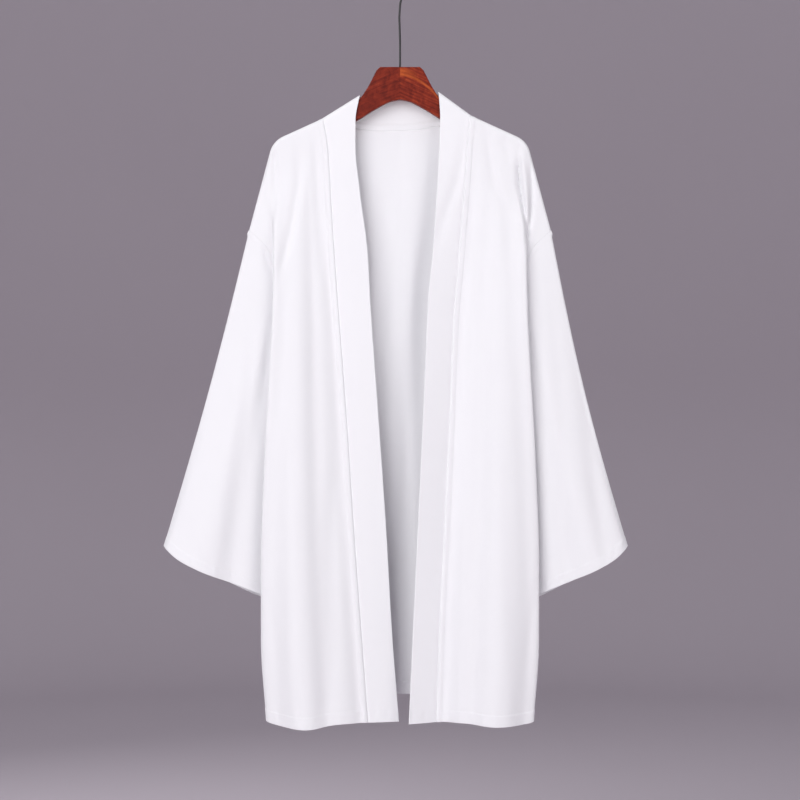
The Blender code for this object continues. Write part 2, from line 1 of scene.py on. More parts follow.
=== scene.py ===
"""Dressed model of an open-front hanfu jacket in thin white cloth on a wooden hanger.

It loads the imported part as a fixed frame, lays fine cloth, wood and wire over its solids, and adds
the floor, the lights and the camera. The garment's tables are the part's own, in millimetres: x is
the distance out from the centre line, y is the depth (minus in front) and drop is the distance
below the hook's crown. A panel is read at u, across it, and at v, from the shoulder (0) to the
hem (1).
"""

import math

import bmesh
import bpy
import numpy as np
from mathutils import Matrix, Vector


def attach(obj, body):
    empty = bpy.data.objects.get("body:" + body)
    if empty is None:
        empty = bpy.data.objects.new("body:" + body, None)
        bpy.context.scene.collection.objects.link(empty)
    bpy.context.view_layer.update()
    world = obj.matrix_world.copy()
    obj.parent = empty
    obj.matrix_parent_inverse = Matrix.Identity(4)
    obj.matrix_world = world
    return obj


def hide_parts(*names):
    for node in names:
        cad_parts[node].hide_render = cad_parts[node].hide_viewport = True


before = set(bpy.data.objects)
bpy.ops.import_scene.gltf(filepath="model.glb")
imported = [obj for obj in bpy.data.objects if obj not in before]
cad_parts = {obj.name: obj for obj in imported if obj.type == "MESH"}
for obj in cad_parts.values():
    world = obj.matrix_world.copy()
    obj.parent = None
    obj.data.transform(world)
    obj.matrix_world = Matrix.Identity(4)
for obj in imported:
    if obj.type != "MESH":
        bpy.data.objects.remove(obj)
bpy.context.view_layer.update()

MM = 0.001
RIGHT, LEFT = -1, 1

# Shoulder line: a straight slope, a round over the hanger's tip, then the dropped shoulder
SLOPE_FROM = (120.0, 227.4)
SLOPE_ANGLE = math.radians(24.5)
SLOPE_LENGTH = 62.0
TIP_RADIUS = 36.0
DROOP_ANGLE = math.radians(75.0)
DROOP_LENGTH = 122.0
SHOULDER_ROUND = 6.0

# Where the front panel's five lengthwise lines lie across it, and where the inner three start on
# the shoulder line
FRONT_U = (0.0, 0.24, 0.50, 0.80, 1.0)
FRONT_SHOULDER = (36.0, 80.0, 135.0)
RISE_SHARE, CROWN_SHARE = 0.30, 0.62
FRONT_HEM_DROP = {
    RIGHT: (1135.5, 1136.5, 1142.0, 1133.0, 1126.0),
    LEFT: (1134.5, 1134.5, 1138.0, 1134.0, 1127.0),
}
UNDERARM_V = 0.33

# Front panel, one row for each level, the same on both sides
FRONT_COLUMNS = ("v", "seam_y", "rise_y", "crown_y", "fold_x", "fold_y", "edge_x", "edge_y")
FRONT_ROWS = (
    (0.00, -8.8, -8.8, -8.8, 205.5, -5.0, 227.8, -4.5),
    (0.04, -9.0, -9.0, -9.5, 197.0, -8.0, 199.0, -6.0),
    (0.08, -9.0, -10.0, -12.0, 190.5, -14.0, 187.5, -6.5),
    (0.15, -9.5, -12.0, -17.0, 190.0, -21.0, 184.0, -6.5),
    (0.25, -10.5, -15.0, -23.0, 191.5, -25.0, 180.0, -6.0),
    (0.33, -12.0, -18.0, -28.0, 194.5, -26.0, 176.0, -5.0),
    (0.50, -14.0, -23.0, -35.0, 202.5, -25.0, 190.0, -8.0),
    (0.70, -17.0, -30.0, -44.0, 207.0, -26.0, 205.0, -13.0),
    (0.85, -20.0, -36.0, -51.0, 206.5, -28.0, 206.0, -14.0),
    (1.00, -22.0, -40.0, -56.0, 198.5, -30.0, 198.0, -14.0),
)

# Collar band in front, one row for each level and a table for each side
BAND_COLUMNS = ("v", "seam_x", "inner_x", "inner_y")
BAND_ROWS = {
    RIGHT: (
        (0.00, 116.0, 60.5, -8.8),
        (0.04, 109.5, 67.0, -9.0),
        (0.08, 106.5, 67.2, -9.0),
        (0.15, 103.0, 61.0, -9.0),
        (0.25, 97.0, 49.0, -9.0),
        (0.33, 91.5, 44.8, -9.5),
        (0.50, 80.0, 33.5, -10.0),
        (0.70, 68.0, 20.5, -11.0),
        (0.85, 58.0, 12.5, -12.0),
        (1.00, 48.0, 1.5, -14.0),
    ),
    LEFT: (
        (0.00, 106.0, 58.0, -8.8),
        (0.04, 101.5, 60.5, -11.0),
        (0.08, 99.0, 59.5, -13.0),
        (0.15, 94.0, 56.2, -17.0),
        (0.25, 87.0, 49.5, -21.0),
        (0.33, 80.5, 42.5, -25.0),
        (0.50, 74.0, 35.3, -31.0),
        (0.70, 65.3, 26.2, -36.0),
        (0.85, 58.5, 19.5, -39.0),
        (1.00, 54.0, 13.0, -42.0),
    ),
}
BAND_TOP_DROP = {RIGHT: 191.0, LEFT: 186.0}
BAND_HEM_DROP = 1135.0

# Collar band behind the neck, from the centre back (0) to the shoulder line (1).
# seam_share and top_share are shares of the x where that edge crosses the shoulder.
NECK_COLUMNS = ("n", "seam_share", "seam_y", "seam_below", "top_share", "top_y", "top_drop")
NECK_ROWS = (
    (0.00, 0.00, 20.0, 18.5, 0.00, 18.5, 189.5),
    (0.35, 0.34, 18.8, 16.5, 0.48, 17.2, 189.5),
    (0.62, 0.62, 16.0, 12.0, 0.82, 14.0, 189.5),
    (0.84, 0.92, 10.2, 6.0, 0.97, 9.0, 189.5),
    (0.93, 0.98, 7.8, 1.4, 0.99, 6.5, 189.3),
    (0.97, 0.995, 4.6, 0.0, 1.00, 3.5, 189.0),
    (1.00, 1.00, 0.0, 0.0, 1.00, 0.0, 189.0),
)

# Back panel, one row for each level; u is 0 at the centre back and 1 at the side
BACK_U = (0.0, 0.25, 0.50, 0.66, 0.82, 1.0)
BACK_SHOULDER = (80.0, 135.0)
BACK_COLUMNS = (
    "v", "centre_y", "mid_x", "mid_y", "neck_x", "neck_y", "tip_x", "tip_y", "fold_x", "fold_y", "edge_y"
)
BACK_ROWS = (
    (0.00, 20.0, 66.0, 15.0, 111.0, 8.8, 189.0, 8.8, 205.5, 5.0, 4.5),
    (0.04, 21.0, 65.0, 17.0, 112.0, 11.5, 178.0, 10.0, 193.0, 8.0, 7.0),
    (0.08, 22.0, 64.0, 19.0, 112.0, 14.5, 166.0, 12.0, 183.0, 10.0, 9.0),
    (0.15, 24.0, 62.0, 22.0, 110.0, 18.0, 153.0, 15.0, 172.0, 11.5, 10.0),
    (0.25, 26.0, 60.0, 24.0, 105.0, 20.0, 143.0, 14.0, 166.0, 7.0, 4.0),
    (0.33, 27.0, 59.0, 26.0, 102.0, 21.0, 139.0, 11.0, 162.0, 1.5, -5.0),
    (0.50, 30.0, 60.0, 28.0, 103.0, 21.0, 141.0, 7.0, 170.0, -3.0, -8.0),
    (0.70, 32.0, 64.0, 33.0, 110.0, 23.0, 148.0, 6.0, 184.0, -3.0, -13.0),
    (0.85, 31.0, 68.0, 38.0, 116.0, 33.0, 154.0, 20.0, 188.0, 5.0, -14.0),
    (1.00, 28.0, 70.0, 42.0, 120.0, 42.0, 156.0, 33.0, 184.0, 12.0, -14.0),
)
BACK_HEM_DROP = (1099.0, 1102.0, 1108.0, 1115.0, 1120.0, 1126.5)

# Cuff opening, once round: a is 0 on the outer fold and 0.5 at the underarm seam
CUFF_COLUMNS = ("a", "x", "y", "drop")
CUFF_ROWS = (
    (0.00, 357.0, 0.0, 872.0),
    (0.03, 353.0, -8.0, 876.0),
    (0.08, 338.0, -16.0, 889.0),
    (0.16, 305.0, -24.0, 906.5),
    (0.25, 262.0, -18.0, 924.0),
    (0.34, 215.0, -4.0, 943.0),
    (0.42, 175.0, 13.0, 963.0),
    (0.47, 145.0, 27.0, 979.0),
    (0.50, 135.0, 34.0, 985.0),
    (0.53, 143.0, 41.0, 981.0),
    (0.60, 180.0, 42.0, 965.0),
    (0.70, 230.0, 32.0, 943.0),
    (0.80, 280.0, 26.0, 919.0),
    (0.90, 330.0, 18.0, 891.0),
    (0.96, 351.0, 9.0, 876.0),
    (1.00, 357.0, 0.0, 872.0),
)
CUFF_SPREAD_FROM = 206.0
CUFF_SPREAD = {RIGHT: 1.0, LEFT: 0.914}

# A sleeve's outer fold hangs inside a straight line by this much, and its underarm seam lies
# further back than one
OUTER_BOW = {RIGHT: 4.5, LEFT: 8.0}
UNDERARM_BOW, UNDERARM_BOW_WIDTH = 10.0, 0.12

# Soft folds that run down a piece: where each lies at its top and at its hem, and how wide it is,
# in u or a, then how far it stands towards the wearer at its top and at its hem
FOLD_COLUMNS = ("at_top", "at_hem", "width", "top_depth", "hem_depth")
FRONT_FOLDS = {
    RIGHT: ((0.10, 0.07, 0.05, 1.0, 2.5), (0.30, 0.34, 0.07, 1.5, 3.5), (0.62, 0.66, 0.08, 2.0, 5.0)),
    LEFT: ((0.12, 0.08, 0.06, 1.5, 3.5), (0.34, 0.30, 0.07, 1.0, 3.0), (0.60, 0.70, 0.07, 2.5, 4.5)),
}
BACK_FOLDS = (
    (-0.42, -0.46, 0.07, 2.0, 7.0),
    (-0.16, -0.20, 0.06, 2.5, 6.0),
    (0.06, 0.10, 0.05, 1.5, 5.0),
    (0.30, 0.33, 0.07, 2.5, 7.0),
    (0.55, 0.52, 0.06, 1.5, 5.0),
)
SLEEVE_FOLDS = {
    RIGHT: ((0.22, 0.27, 0.045, 1.5, 6.0), (0.72, 0.70, 0.05, 1.5, 6.0)),
    LEFT: ((0.20, 0.24, 0.05, 1.0, 4.0), (0.74, 0.66, 0.05, 2.0, 6.0)),
}

# Hanger
WOOD_THICK = 12.0
WOOD_UNDER_SHOULDER = 1.5
WOOD_TIP_EXTRA = 2.0
WOOD_TIP_REACH = 21.0
WOOD_TIP_DEEP = 17.0
WOOD_TOP_ROWS = ((0.0, 148.0), (30.0, 148.0), (35.5, 153.0), (52.8, 185.0), (63.0, 198.5), (90.0, 214.6))
WOOD_UNDER_ROWS = ((0.0, 197.5), (12.0, 199.5), (34.0, 210.0), (64.0, 228.5), (110.0, 253.0))

# Hook
WIRE_RADIUS = 1.6
HOOK_RADIUS = 20.0
HOOK_TIP_ANGLE = math.radians(200.0)
HOOK_BEND_RADIUS = 12.0
HOOK_SEAT = 12.0
HOOK_BEND_END = math.radians(-62.0)

# Looks of the cloth, wood and wire: lengths in millimetres, colours linear
THREAD_PITCH = 0.42
WOOD_ROUND = 1.8
WIRE_SIDES = 20
METRES_TO_MM = (1000.0, 1000.0, 1000.0)
THREAD_TWIST = 9.0
CREPE_LIGHT, CREPE_SHADE = (0.915, 0.915, 0.935), (0.88, 0.88, 0.905)
BAND_LIGHT = (0.91, 0.91, 0.93)
CREPE_THROUGH, BAND_THROUGH = 0.15, 0.12
# Thread colours: painted shade for the twist's grooves, painted light for its ridges
THREAD_SHADE, THREAD_LIGHT = (0.84, 0.84, 0.87), (0.93, 0.93, 0.95)
WOOD_TONES = (
    (0.30, (0.085, 0.008, 0.004)), (0.47, (0.150, 0.014, 0.006)), (0.60, (0.215, 0.023, 0.009)),
    (0.78, (0.34, 0.052, 0.016)),
)
# Wood colours: a painted highlight, then the dark joint and the dark pores
WOOD_PAINTED_HIGHLIGHT, WOOD_JOINT, WOOD_PORE = (0.52, 0.105, 0.020), (0.05, 0.006, 0.004), (0.05, 0.005, 0.003)
# On the wood, per metre: how sharply its halves, joint and painted highlights end, and how its rings run.
# The painted highlight lies along an arch that starts this far below the crown, in metres, with a painted
# lit patch just above it near the centre.
HALVES_EDGE, JOINT_EDGE, HIGHLIGHT_EDGE, LIT_PATCH_EDGE, LIT_PATCH_REACH = 4000.0, 3300.0, 300.0, 150.0, 36.0
RING_RATE, RING_WANDER = 1350.0, 16.0
GRAIN_ALONG, GRAIN_THROUGH, GRAIN_OVER = 24.0, 60.0, 190.0
HIGHLIGHT_DROP, HIGHLIGHT_ARCH, LIT_PATCH_LIFT = 0.160, 10.5, 0.006
PORES_FROM, RUBBED_FROM = 0.58, 0.66
PAINT_BLACK, PAINT_RUBBED = (0.010, 0.010, 0.012), (0.09, 0.09, 0.095)
SURROUND_LIGHT, SURROUND_SHADE = (0.47, 0.425, 0.47), (0.44, 0.395, 0.44)

# Studio
CAMERA_DISTANCE = 3.2
CAMERA_HEIGHT = -0.651
FRAME_WIDTH = 1.2096
FLOOR_Z = -1.75
SURROUND_RADIUS = 6.0
SURROUND_CURVE = 1.2
SURROUND_TOP = 4.0
SURROUND_SIDES = 72
SENSOR_WIDTH = 36.0
LIGHTS_AIM = (0.0, 0.0, -0.65)
LIGHTS = (
    ("key", (-1.75, -3.15, 0.3), 2.9, 105.0, (1.0, 1.0, 1.0)),
    ("fill", (2.4, -2.7, -0.3), 2.2, 38.0, (1.0, 0.99, 0.98)),
    ("behind", (-1.3, 2.4, 0.5), 2.2, 32.0, (1.0, 1.0, 1.0)),
)
SKY_COLOUR = (0.96, 0.97, 1.0)
SKY_STRENGTH = 0.80

# Creases: soft valleys (plus) and ridges (minus) laid over the panels. Each is a line of stations
# (drop, x, width, depth); depth is how far the cloth stands towards the wearer, 0 where it ends.
FRONT_CREASES = {
    RIGHT: (
        ((250, 130, 6, 0.4), (291, 126, 7, 3.2), (351, 123, 8, 3.9), (426, 118, 9, 2.6),
         (501, 107, 9, 1.5), (576, 103, 10, 1.2), (726, 97, 12, 1.8), (891, 104, 15, 3.2),
         (1026, 103, 16, 3.4), (1137, 108, 18, 2.4)),
        ((262, 154, 8, 0.2), (310, 152, 8, 2.6), (357, 158, 7, 3.3), (403, 165.5, 7, 2.8),
         (460, 181, 7, 1.5), (501, 188, 6, 0)),
        ((268, 190, 3.2, 0), (282, 189.5, 3.2, 3.3), (298, 189, 3.6, 2.3), (336, 189, 4.5, 1.6),
         (373, 191, 5, 0.9), (403, 192, 5, 0)),
        ((408, 204, 3.5, 0), (420, 203, 3.6, 2.0), (441, 201, 4, 2.0), (460, 193, 5, 1.5),
         (500, 190, 5, 1.0), (560, 190, 6, 0)),
        ((480, 219, 9, 0), (560, 222, 10, 1.4), (640, 228, 11, 2.2), (726, 240, 13, 3.0),
         (801, 249, 14, 3.3), (891, 256, 15, 2.8), (935, 258, 15, 1.5)),
        ((640, 176, 10, 0), (760, 170, 12, -1.2), (900, 166, 14, -1.6), (1137, 160, 16, -1.8)),
        ((930, 196, 7, 0), (985, 192, 8, 0.8), (1050, 188, 9, 0)),
    ),
    LEFT: (
        ((247, 97, 6, 0.5), (298, 91, 8, 1.6), (334, 82, 9, 2.1), (370, 69, 9, 1.9),
         (406, 60, 9, 1.1), (456, 55, 10, 0)),
        ((243, 130, 6, 0.8), (280, 135, 7, 2.1), (325, 144, 8, 2.3), (361, 158, 9, 1.7),
         (411, 165, 10, 1.2), (486, 168, 10, 0)),
        ((252, 157, 5, 0), (262, 158, 5, 1.6), (276, 162, 5, 1.4), (300, 165, 5, 0)),
        ((262, 177.5, 2.8, 0), (272, 178, 2.9, 1.2), (284, 178.3, 3.0, 2.2), (300, 178.6, 3.4, 6.4),
         (325, 180.2, 3.5, 7.6), (349, 184.0, 3.4, 7.0), (388, 190.4, 3.2, 4.6),
         (414, 192, 3.0, 0)),
        ((262, 184.5, 4.2, 0), (290, 185.5, 4.5, -2.2), (330, 189, 4.5, -2.6),
         (370, 193, 4.0, -1.6), (402, 195, 3.5, 0)),
        ((286, 197, 3.5, 0), (307, 198, 3.8, 2.8), (337, 199.7, 4.2, 3.8), (380, 196.5, 4.0, 3.6),
         (413, 190.8, 3.6, 1.8), (432, 190, 3.5, 0)),
        ((420, 86, 8, 0), (470, 92, 9, 1.0), (640, 84, 10, 1.4), (830, 76, 12, 2.0),
         (980, 76, 13, 2.6), (1137, 74, 14, 2.4)),
        ((600, 150, 12, 0), (760, 160, 14, 1.2), (900, 165, 15, 1.8), (1020, 172, 14, 1.6),
         (1137, 176, 12, 1.0)),
        ((905, 205, 6, 0), (960, 200, 7, 1.1), (1040, 190, 8, 0.8), (1100, 186, 8, 0)),
        ((560, 268, 11, 0), (700, 284, 12, 2.3), (800, 297, 13, 3.4), (880, 307, 13, 2.6),
         (900, 310, 12, 1.6)),
        ((450, 226, 8, 0), (560, 236, 9, 0.7), (700, 246, 10, 0.9), (860, 252, 12, 1.4),
         (930, 254, 12, 1.0)),
    ),
}
# On the back and on the backs of the sleeves x is signed, plus at the wearer's left
BACK_CREASES = (
    ((246, 44, 16, 0), (300, 40, 18, 3.4), (400, 28, 20, 5.2), (546, 6, 22, 4.6),
     (800, -16, 24, 2.4), (1000, -24, 26, 0)),
    ((300, -66, 10, 0), (380, -60, 12, 1.6), (560, -56, 14, 2.2), (800, -62, 15, 1.6),
     (1000, -66, 16, 0)),
    ((262, -176, 4, 0), (285, -176, 5, 1.8), (330, -171, 6, 1.9), (400, -158, 8, 1.5),
     (520, -140, 11, 1.4), (760, -124, 13, 1.8), (1128, -118, 15, 2.2)),
    ((262, 178, 4, 0), (285, 177, 5, 1.6), (340, 168, 7, 1.8), (430, 150, 9, 1.4),
     (600, 134, 12, 1.6), (820, 124, 13, 2.0), (1128, 122, 15, 2.0)),
    ((270, -150, 6, 0), (300, -146, 6, 0.9), (360, -132, 8, 1.0), (460, -112, 10, 0.8),
     (600, -100, 11, 0)),
    ((270, 148, 6, 0), (300, 143, 6, 1.0), (380, 124, 9, 1.2), (500, 104, 11, 0.7),
     (620, 96, 11, 0)),
    ((430, -214, 8, 0), (520, -224, 9, 1.4), (650, -246, 11, 1.8), (800, -274, 13, 2.4),
     (905, -292, 14, 1.8)),
    ((560, -196, 8, 0), (700, -206, 10, 1.6), (840, -220, 12, 2.4), (950, -230, 13, 1.8)),
    ((430, 212, 8, 0), (540, 226, 9, 1.2), (680, 246, 11, 2.0), (820, 264, 13, 2.2),
     (915, 276, 14, 1.6)),
    ((540, 236, 7, 0), (660, 262, 9, 1.1), (800, 292, 11, 1.7), (892, 312, 12, 1.2)),
    ((560, 190, 8, 0), (720, 200, 10, 1.4), (860, 212, 12, 2.0), (955, 222, 13, 1.4)),
)

# Walls of the visible cloth: one layer, then those of a turned hem, a seam allowance and the band
ONE_LAYER = 0.45
HEM_LAYERS = 1.25
SEAM_LAYERS = 0.95
BAND_WALL = 1.3
FOLD_ROUND = 0.6

# Turned edges and seam allowances, how wide each is
FRONT_HEM = {RIGHT: 18.0, LEFT: 17.0}
BACK_HEM = 18.0
CUFF_HEM = 15.0
SEAM_TURNING = 8.0
STEP_WIDTH = 1.0

# The pressed seam beside the collar band, and the little hollow that the stitches draw in
SEAM_RISE = 0.75
SEAM_DITCH = 0.65
DITCH_WIDTH = 0.8
TOPSTITCH_FROM_SEAM = 6.3
STITCH_HOLLOW = 0.18
BAND_CROWN = 0.5
NECK_STEP_AT, NECK_STEP, NECK_DITCH = 7.5, 1.2, 0.8
JOG, JOG_AT, JOG_WIDTH = 1.4, 5.0, 4.0

# Puckers: waves along a stitched edge, each (wavelength, phase, share)
PUCKER_WAVES = ((17.0, 0.4, 1.0), (9.5, 2.1, 0.55), (29.0, 4.0, 0.7))
PUCKER_REACH = 9.0
PUCKER_DEPTH = {"front": 0.22, "back": 0.25, "band": 0.3, "cuff": 0.45}

# Rows and columns of the fine grids
NEAR_TOP = (0.0, 0.0003, 0.0006, 0.0012, 0.002, 0.0032, 0.005, 0.0075, 0.011, 0.016)
NEAR_HEM = (0.99885, 0.9993, 0.9996, 0.9998, 1.0)
DOWN = np.concatenate(
    [NEAR_TOP, np.linspace(0.022, UNDERARM_V, 84), np.linspace(UNDERARM_V, 0.976, 96)[1:],
     np.linspace(0.976, 0.998, 22)[1:], NEAR_HEM]
)
NEAR_SEAM = (
    0.0, 0.004, 0.008, 0.013, 0.019, 0.027, 0.036, 0.045, 0.054, 0.060, 0.066, 0.073, 0.082, 0.093
)
FRONT_ACROSS = np.concatenate(
    [NEAR_SEAM, np.linspace(0.105, 0.66, 38), np.linspace(0.66, 0.985, 98)[1:], (0.99, 0.995, 1.0)]
)
BACK_ACROSS = np.concatenate(
    [np.linspace(0, 0.46, 34), (0.47, 0.48, 0.4875, 0.493, 0.497, 0.5, 0.505, 0.512, 0.52, 0.53),
     np.linspace(0.54, 0.66, 10), np.linspace(0.66, 0.985, 50)[1:], (0.99, 0.995, 1.0)]
)
BAND_ACROSS = np.concatenate([(0, 0.012, 0.025, 0.045, 0.07, 0.1), np.linspace(0.14, 0.97, 18),
                              (0.978, 0.985, 0.991, 0.995, 0.998, 1.0)])
SLEEVE_DOWN = np.concatenate(
    [(0, 0.002, 0.005, 0.009, 0.013, 0.017, 0.021, 0.026, 0.032), np.linspace(0.04, 0.93, 70),
     np.linspace(0.935, 0.996, 24), (0.9975, 0.9985, 0.9993, 1.0)]
)

# Stitches
STITCH_PITCH = 2.8
STITCH_LENGTH = 2.1
STITCH_THICK = 0.34


def smooth_step(t):
    t = np.clip(t, 0.0, 1.0)
    return t * t * (3.0 - 2.0 * t)


def bell(x, at, width):
    """A soft hump, 1 where x is at, and gone about two widths away."""
    away = (x - at) / width
    return np.exp(-away * away)


def hermite(stations, values, slopes, at):
    """Cubic through values at stations with those slopes, read at the parameters at."""
    at = np.clip(np.asarray(at, float), stations[0], stations[-1])
    k = np.clip(np.searchsorted(stations, at, side="right") - 1, 0, len(stations) - 2)
    span = stations[k + 1] - stations[k]
    t = (at - stations[k]) / span
    if values.ndim > 1:
        t, span = t[..., None], span[..., None]
    a = (2 * t**3 - 3 * t**2 + 1) * values[k] + (t**3 - 2 * t**2 + t) * span * slopes[k]
    return a + (3 * t**2 - 2 * t**3) * values[k + 1] + (t**3 - t**2) * span * slopes[k + 1]


def flowing(stations, values, at):
    """A rounded curve through values, for a section across the cloth."""
    stations, values = np.asarray(stations, float), np.asarray(values, float)
    return hermite(stations, values, np.gradient(values, stations, axis=0), at)


def steady(stations, values, at):
    """A curve through values that never overshoots them, for a line down the cloth."""
    stations, values = np.asarray(stations, float), np.asarray(values, float)
    secant = np.diff(values, axis=0) / np.diff(stations).reshape([-1] + [1] * (values.ndim - 1))
    product = secant[:-1] * secant[1:]
    total = np.where(product > 0, secant[:-1] + secant[1:], 1.0)
    inner = np.where(product > 0, 2 * product / total, 0.0)
    return hermite(stations, values, np.concatenate([secant[:1], inner, secant[-1:]]), at)


def read_table(rows, columns, at, curve=steady):
    """Every column of a table after its first, read at the parameters at."""
    table = np.array(rows)
    return {name: curve(table[:, 0], table[:, k], at) for k, name in enumerate(columns) if k}


def shoulder_at(r):
    """(x, drop) on the shoulder line, r from where its straight slope starts."""
    r = np.asarray(r, float)
    turn = DROOP_ANGLE - SLOPE_ANGLE
    on_slope = np.minimum(r, SLOPE_LENGTH)
    on_arc = np.clip(r - SLOPE_LENGTH, 0.0, TIP_RADIUS * turn)
    on_droop = np.maximum(r - SLOPE_LENGTH - TIP_RADIUS * turn, 0.0)
    heading = SLOPE_ANGLE + on_arc / TIP_RADIUS
    x = SLOPE_FROM[0] + on_slope * math.cos(SLOPE_ANGLE)
    x = x + TIP_RADIUS * (np.sin(heading) - math.sin(SLOPE_ANGLE)) + on_droop * math.cos(DROOP_ANGLE)
    drop = SLOPE_FROM[1] + on_slope * math.sin(SLOPE_ANGLE)
    drop = drop + TIP_RADIUS * (math.cos(SLOPE_ANGLE) - np.cos(heading)) + on_droop * math.sin(DROOP_ANGLE)
    return x, drop


SHOULDER_LENGTH = SLOPE_LENGTH + TIP_RADIUS * (DROOP_ANGLE - SLOPE_ANGLE) + DROOP_LENGTH


def seam_start(side):
    """r where the collar band's seam crosses the shoulder line."""
    return (BAND_ROWS[side][0][1] - SLOPE_FROM[0]) / math.cos(SLOPE_ANGLE)


def below_shoulder(x, drop):
    """Distance from the shoulder line, square to it."""
    to_slope = (drop - SLOPE_FROM[1]) * math.cos(SLOPE_ANGLE) - (x - SLOPE_FROM[0]) * math.sin(SLOPE_ANGLE)
    end_x, end_drop = shoulder_at(SHOULDER_LENGTH)
    to_droop = (drop - end_drop) * math.cos(DROOP_ANGLE) - (x - end_x) * math.sin(DROOP_ANGLE)
    corner_x, corner_drop = shoulder_at(SLOPE_LENGTH)
    centre_x = corner_x - TIP_RADIUS * math.sin(SLOPE_ANGLE)
    centre_drop = corner_drop + TIP_RADIUS * math.cos(SLOPE_ANGLE)
    away = np.hypot(x - centre_x, drop - centre_drop)
    lean = np.arctan2(x - centre_x, centre_drop - drop)
    in_arc = (lean > SLOPE_ANGLE) & (lean < DROOP_ANGLE)
    return np.maximum(np.where(in_arc, TIP_RADIUS - away, np.minimum(to_slope, to_droop)), 0.0)


def rounded_over(distance):
    """0 on the shoulder line, rising to 1 where the cloth hangs: the cloth's turn over the top."""
    t = np.clip(distance / SHOULDER_ROUND, 0.0, 1.0)
    return (1.0 - (1.0 - t) ** 3) ** (1.0 / 3.0)


def fold_depth(folds, u, v):
    """Sum of the soft folds at u and v."""
    depth = np.zeros(np.broadcast(u, v).shape)
    for row in folds:
        fold = dict(zip(FOLD_COLUMNS, row))
        line = fold["at_top"] * (1 - v) + fold["at_hem"] * v
        deep = fold["top_depth"] * (1 - v) + fold["hem_depth"] * v
        depth = depth + deep * bell(u, line, fold["width"])
    return depth


def front_panel(side, u, v):
    """Points (x, y, drop) of a front panel on the grid of u by v."""
    v = np.concatenate([[0.0], v])
    table = read_table(FRONT_ROWS, FRONT_COLUMNS, v)
    seam_x = read_table(BAND_ROWS[side], BAND_COLUMNS, v)["seam_x"]
    across = table["fold_x"] - seam_x
    rise_x, crown_x = seam_x + RISE_SHARE * across, seam_x + CROWN_SHARE * across
    lines_x = (seam_x, rise_x, crown_x, table["fold_x"], table["edge_x"])
    lines_y = (table["seam_y"], table["rise_y"], table["crown_y"], table["fold_y"], table["edge_y"])
    x = flowing(FRONT_U, np.array(lines_x), u)
    y = flowing(FRONT_U, np.array(lines_y), u)
    starts = (seam_start(side), *FRONT_SHOULDER, SHOULDER_LENGTH)
    top_x, top_drop = shoulder_at(steady(FRONT_U, starts, u))
    hem = flowing(FRONT_U, FRONT_HEM_DROP[side], u)
    u, v = u[:, None], v[None, :]
    drop = top_drop[:, None] * (1 - v) + hem[:, None] * v
    x = x + (top_x[:, None] - x[:, :1]) * (1 - smooth_step(v / 0.08))
    settle = smooth_step(v / 0.15) * smooth_step(np.minimum(u, 1 - u) / 0.06)
    y = y + fold_depth(FRONT_FOLDS[side], u, v) * settle
    return np.stack([x, y * rounded_over(below_shoulder(x, drop)), drop], axis=-1)[:, 1:]


def neck_line(side, n, edge):
    """Points of the collar band's seam or top edge behind the neck, n from the centre to the shoulder."""
    table = read_table(NECK_ROWS, NECK_COLUMNS, n, flowing)
    lines = {}
    for each in (RIGHT, LEFT):
        end_x, end_drop = shoulder_at(seam_start(each))
        if edge == "seam":
            line = (table["seam_share"] * end_x, table["seam_y"], end_drop + table["seam_below"])
        else:
            rise = (BAND_TOP_DROP[each] - NECK_ROWS[-1][6]) * smooth_step(n)
            line = (table["top_share"] * BAND_ROWS[each][0][2], table["top_y"], table["top_drop"] + rise)
        lines[each] = np.stack(line, axis=-1)
    own = smooth_step(n / 0.6)[:, None]
    return lines[side] * own + (lines[RIGHT] + lines[LEFT]) / 2 * (1 - own)


def back_half(side, u, v):
    """Points of one half of the back panel, u from the centre back to the side."""
    v = np.concatenate([[0.0], v])
    table = read_table(BACK_ROWS, BACK_COLUMNS, v)
    edge_x = read_table(FRONT_ROWS, FRONT_COLUMNS, v)["edge_x"]
    lines_x = (0 * v, table["mid_x"], table["neck_x"], table["tip_x"], table["fold_x"], edge_x)
    lines_y = tuple(table[name] for name in ("centre_y", "mid_y", "neck_y", "tip_y", "fold_y", "edge_y"))
    x = flowing(BACK_U, np.array(lines_x), u)
    y = flowing(BACK_U, np.array(lines_y), u)
    neck_u = BACK_U[2]
    in_neck = u < neck_u
    on_neck = neck_line(side, np.minimum(u / neck_u, 1), "seam")
    starts = (seam_start(side), *BACK_SHOULDER, SHOULDER_LENGTH)
    line_x, line_drop = shoulder_at(steady(BACK_U[2:], starts, np.maximum(u, neck_u)))
    top = np.where(in_neck[:, None], on_neck, np.stack([line_x, 0 * u, line_drop], axis=-1))
    hem = steady(BACK_U, BACK_HEM_DROP, u)
    u, v = u[:, None], v[None, :]
    drop = top[:, 2:] * (1 - v) + hem[:, None] * v
    x = x + (top[:, :1] - x[:, :1]) * (1 - smooth_step(v / 0.08))
    settle = smooth_step(v / 0.15) * smooth_step((1 - u) / 0.06)
    y = y - fold_depth(BACK_FOLDS, side * u, v) * settle
    below = np.where(in_neck[:, None], drop - top[:, 2:], below_shoulder(x, drop))
    y = top[:, 1:2] + (y - top[:, 1:2]) * rounded_over(below)
    return np.stack([x, y, drop], axis=-1)[:, 1:]


def band_front(side, t, v):
    """Points of the collar band in front, t from its seam to its free edge."""
    seam = front_panel(side, np.array([0.0]), v)[0]
    table = read_table(BAND_ROWS[side], BAND_COLUMNS, v)
    inner_drop = BAND_TOP_DROP[side] * (1 - v) + BAND_HEM_DROP * v
    inner_y = table["inner_y"] * rounded_over(inner_drop - BAND_TOP_DROP[side])
    inner = np.stack([table["inner_x"], inner_y, inner_drop], axis=-1)
    return seam[None] + (inner - seam)[None] * t[:, None, None]


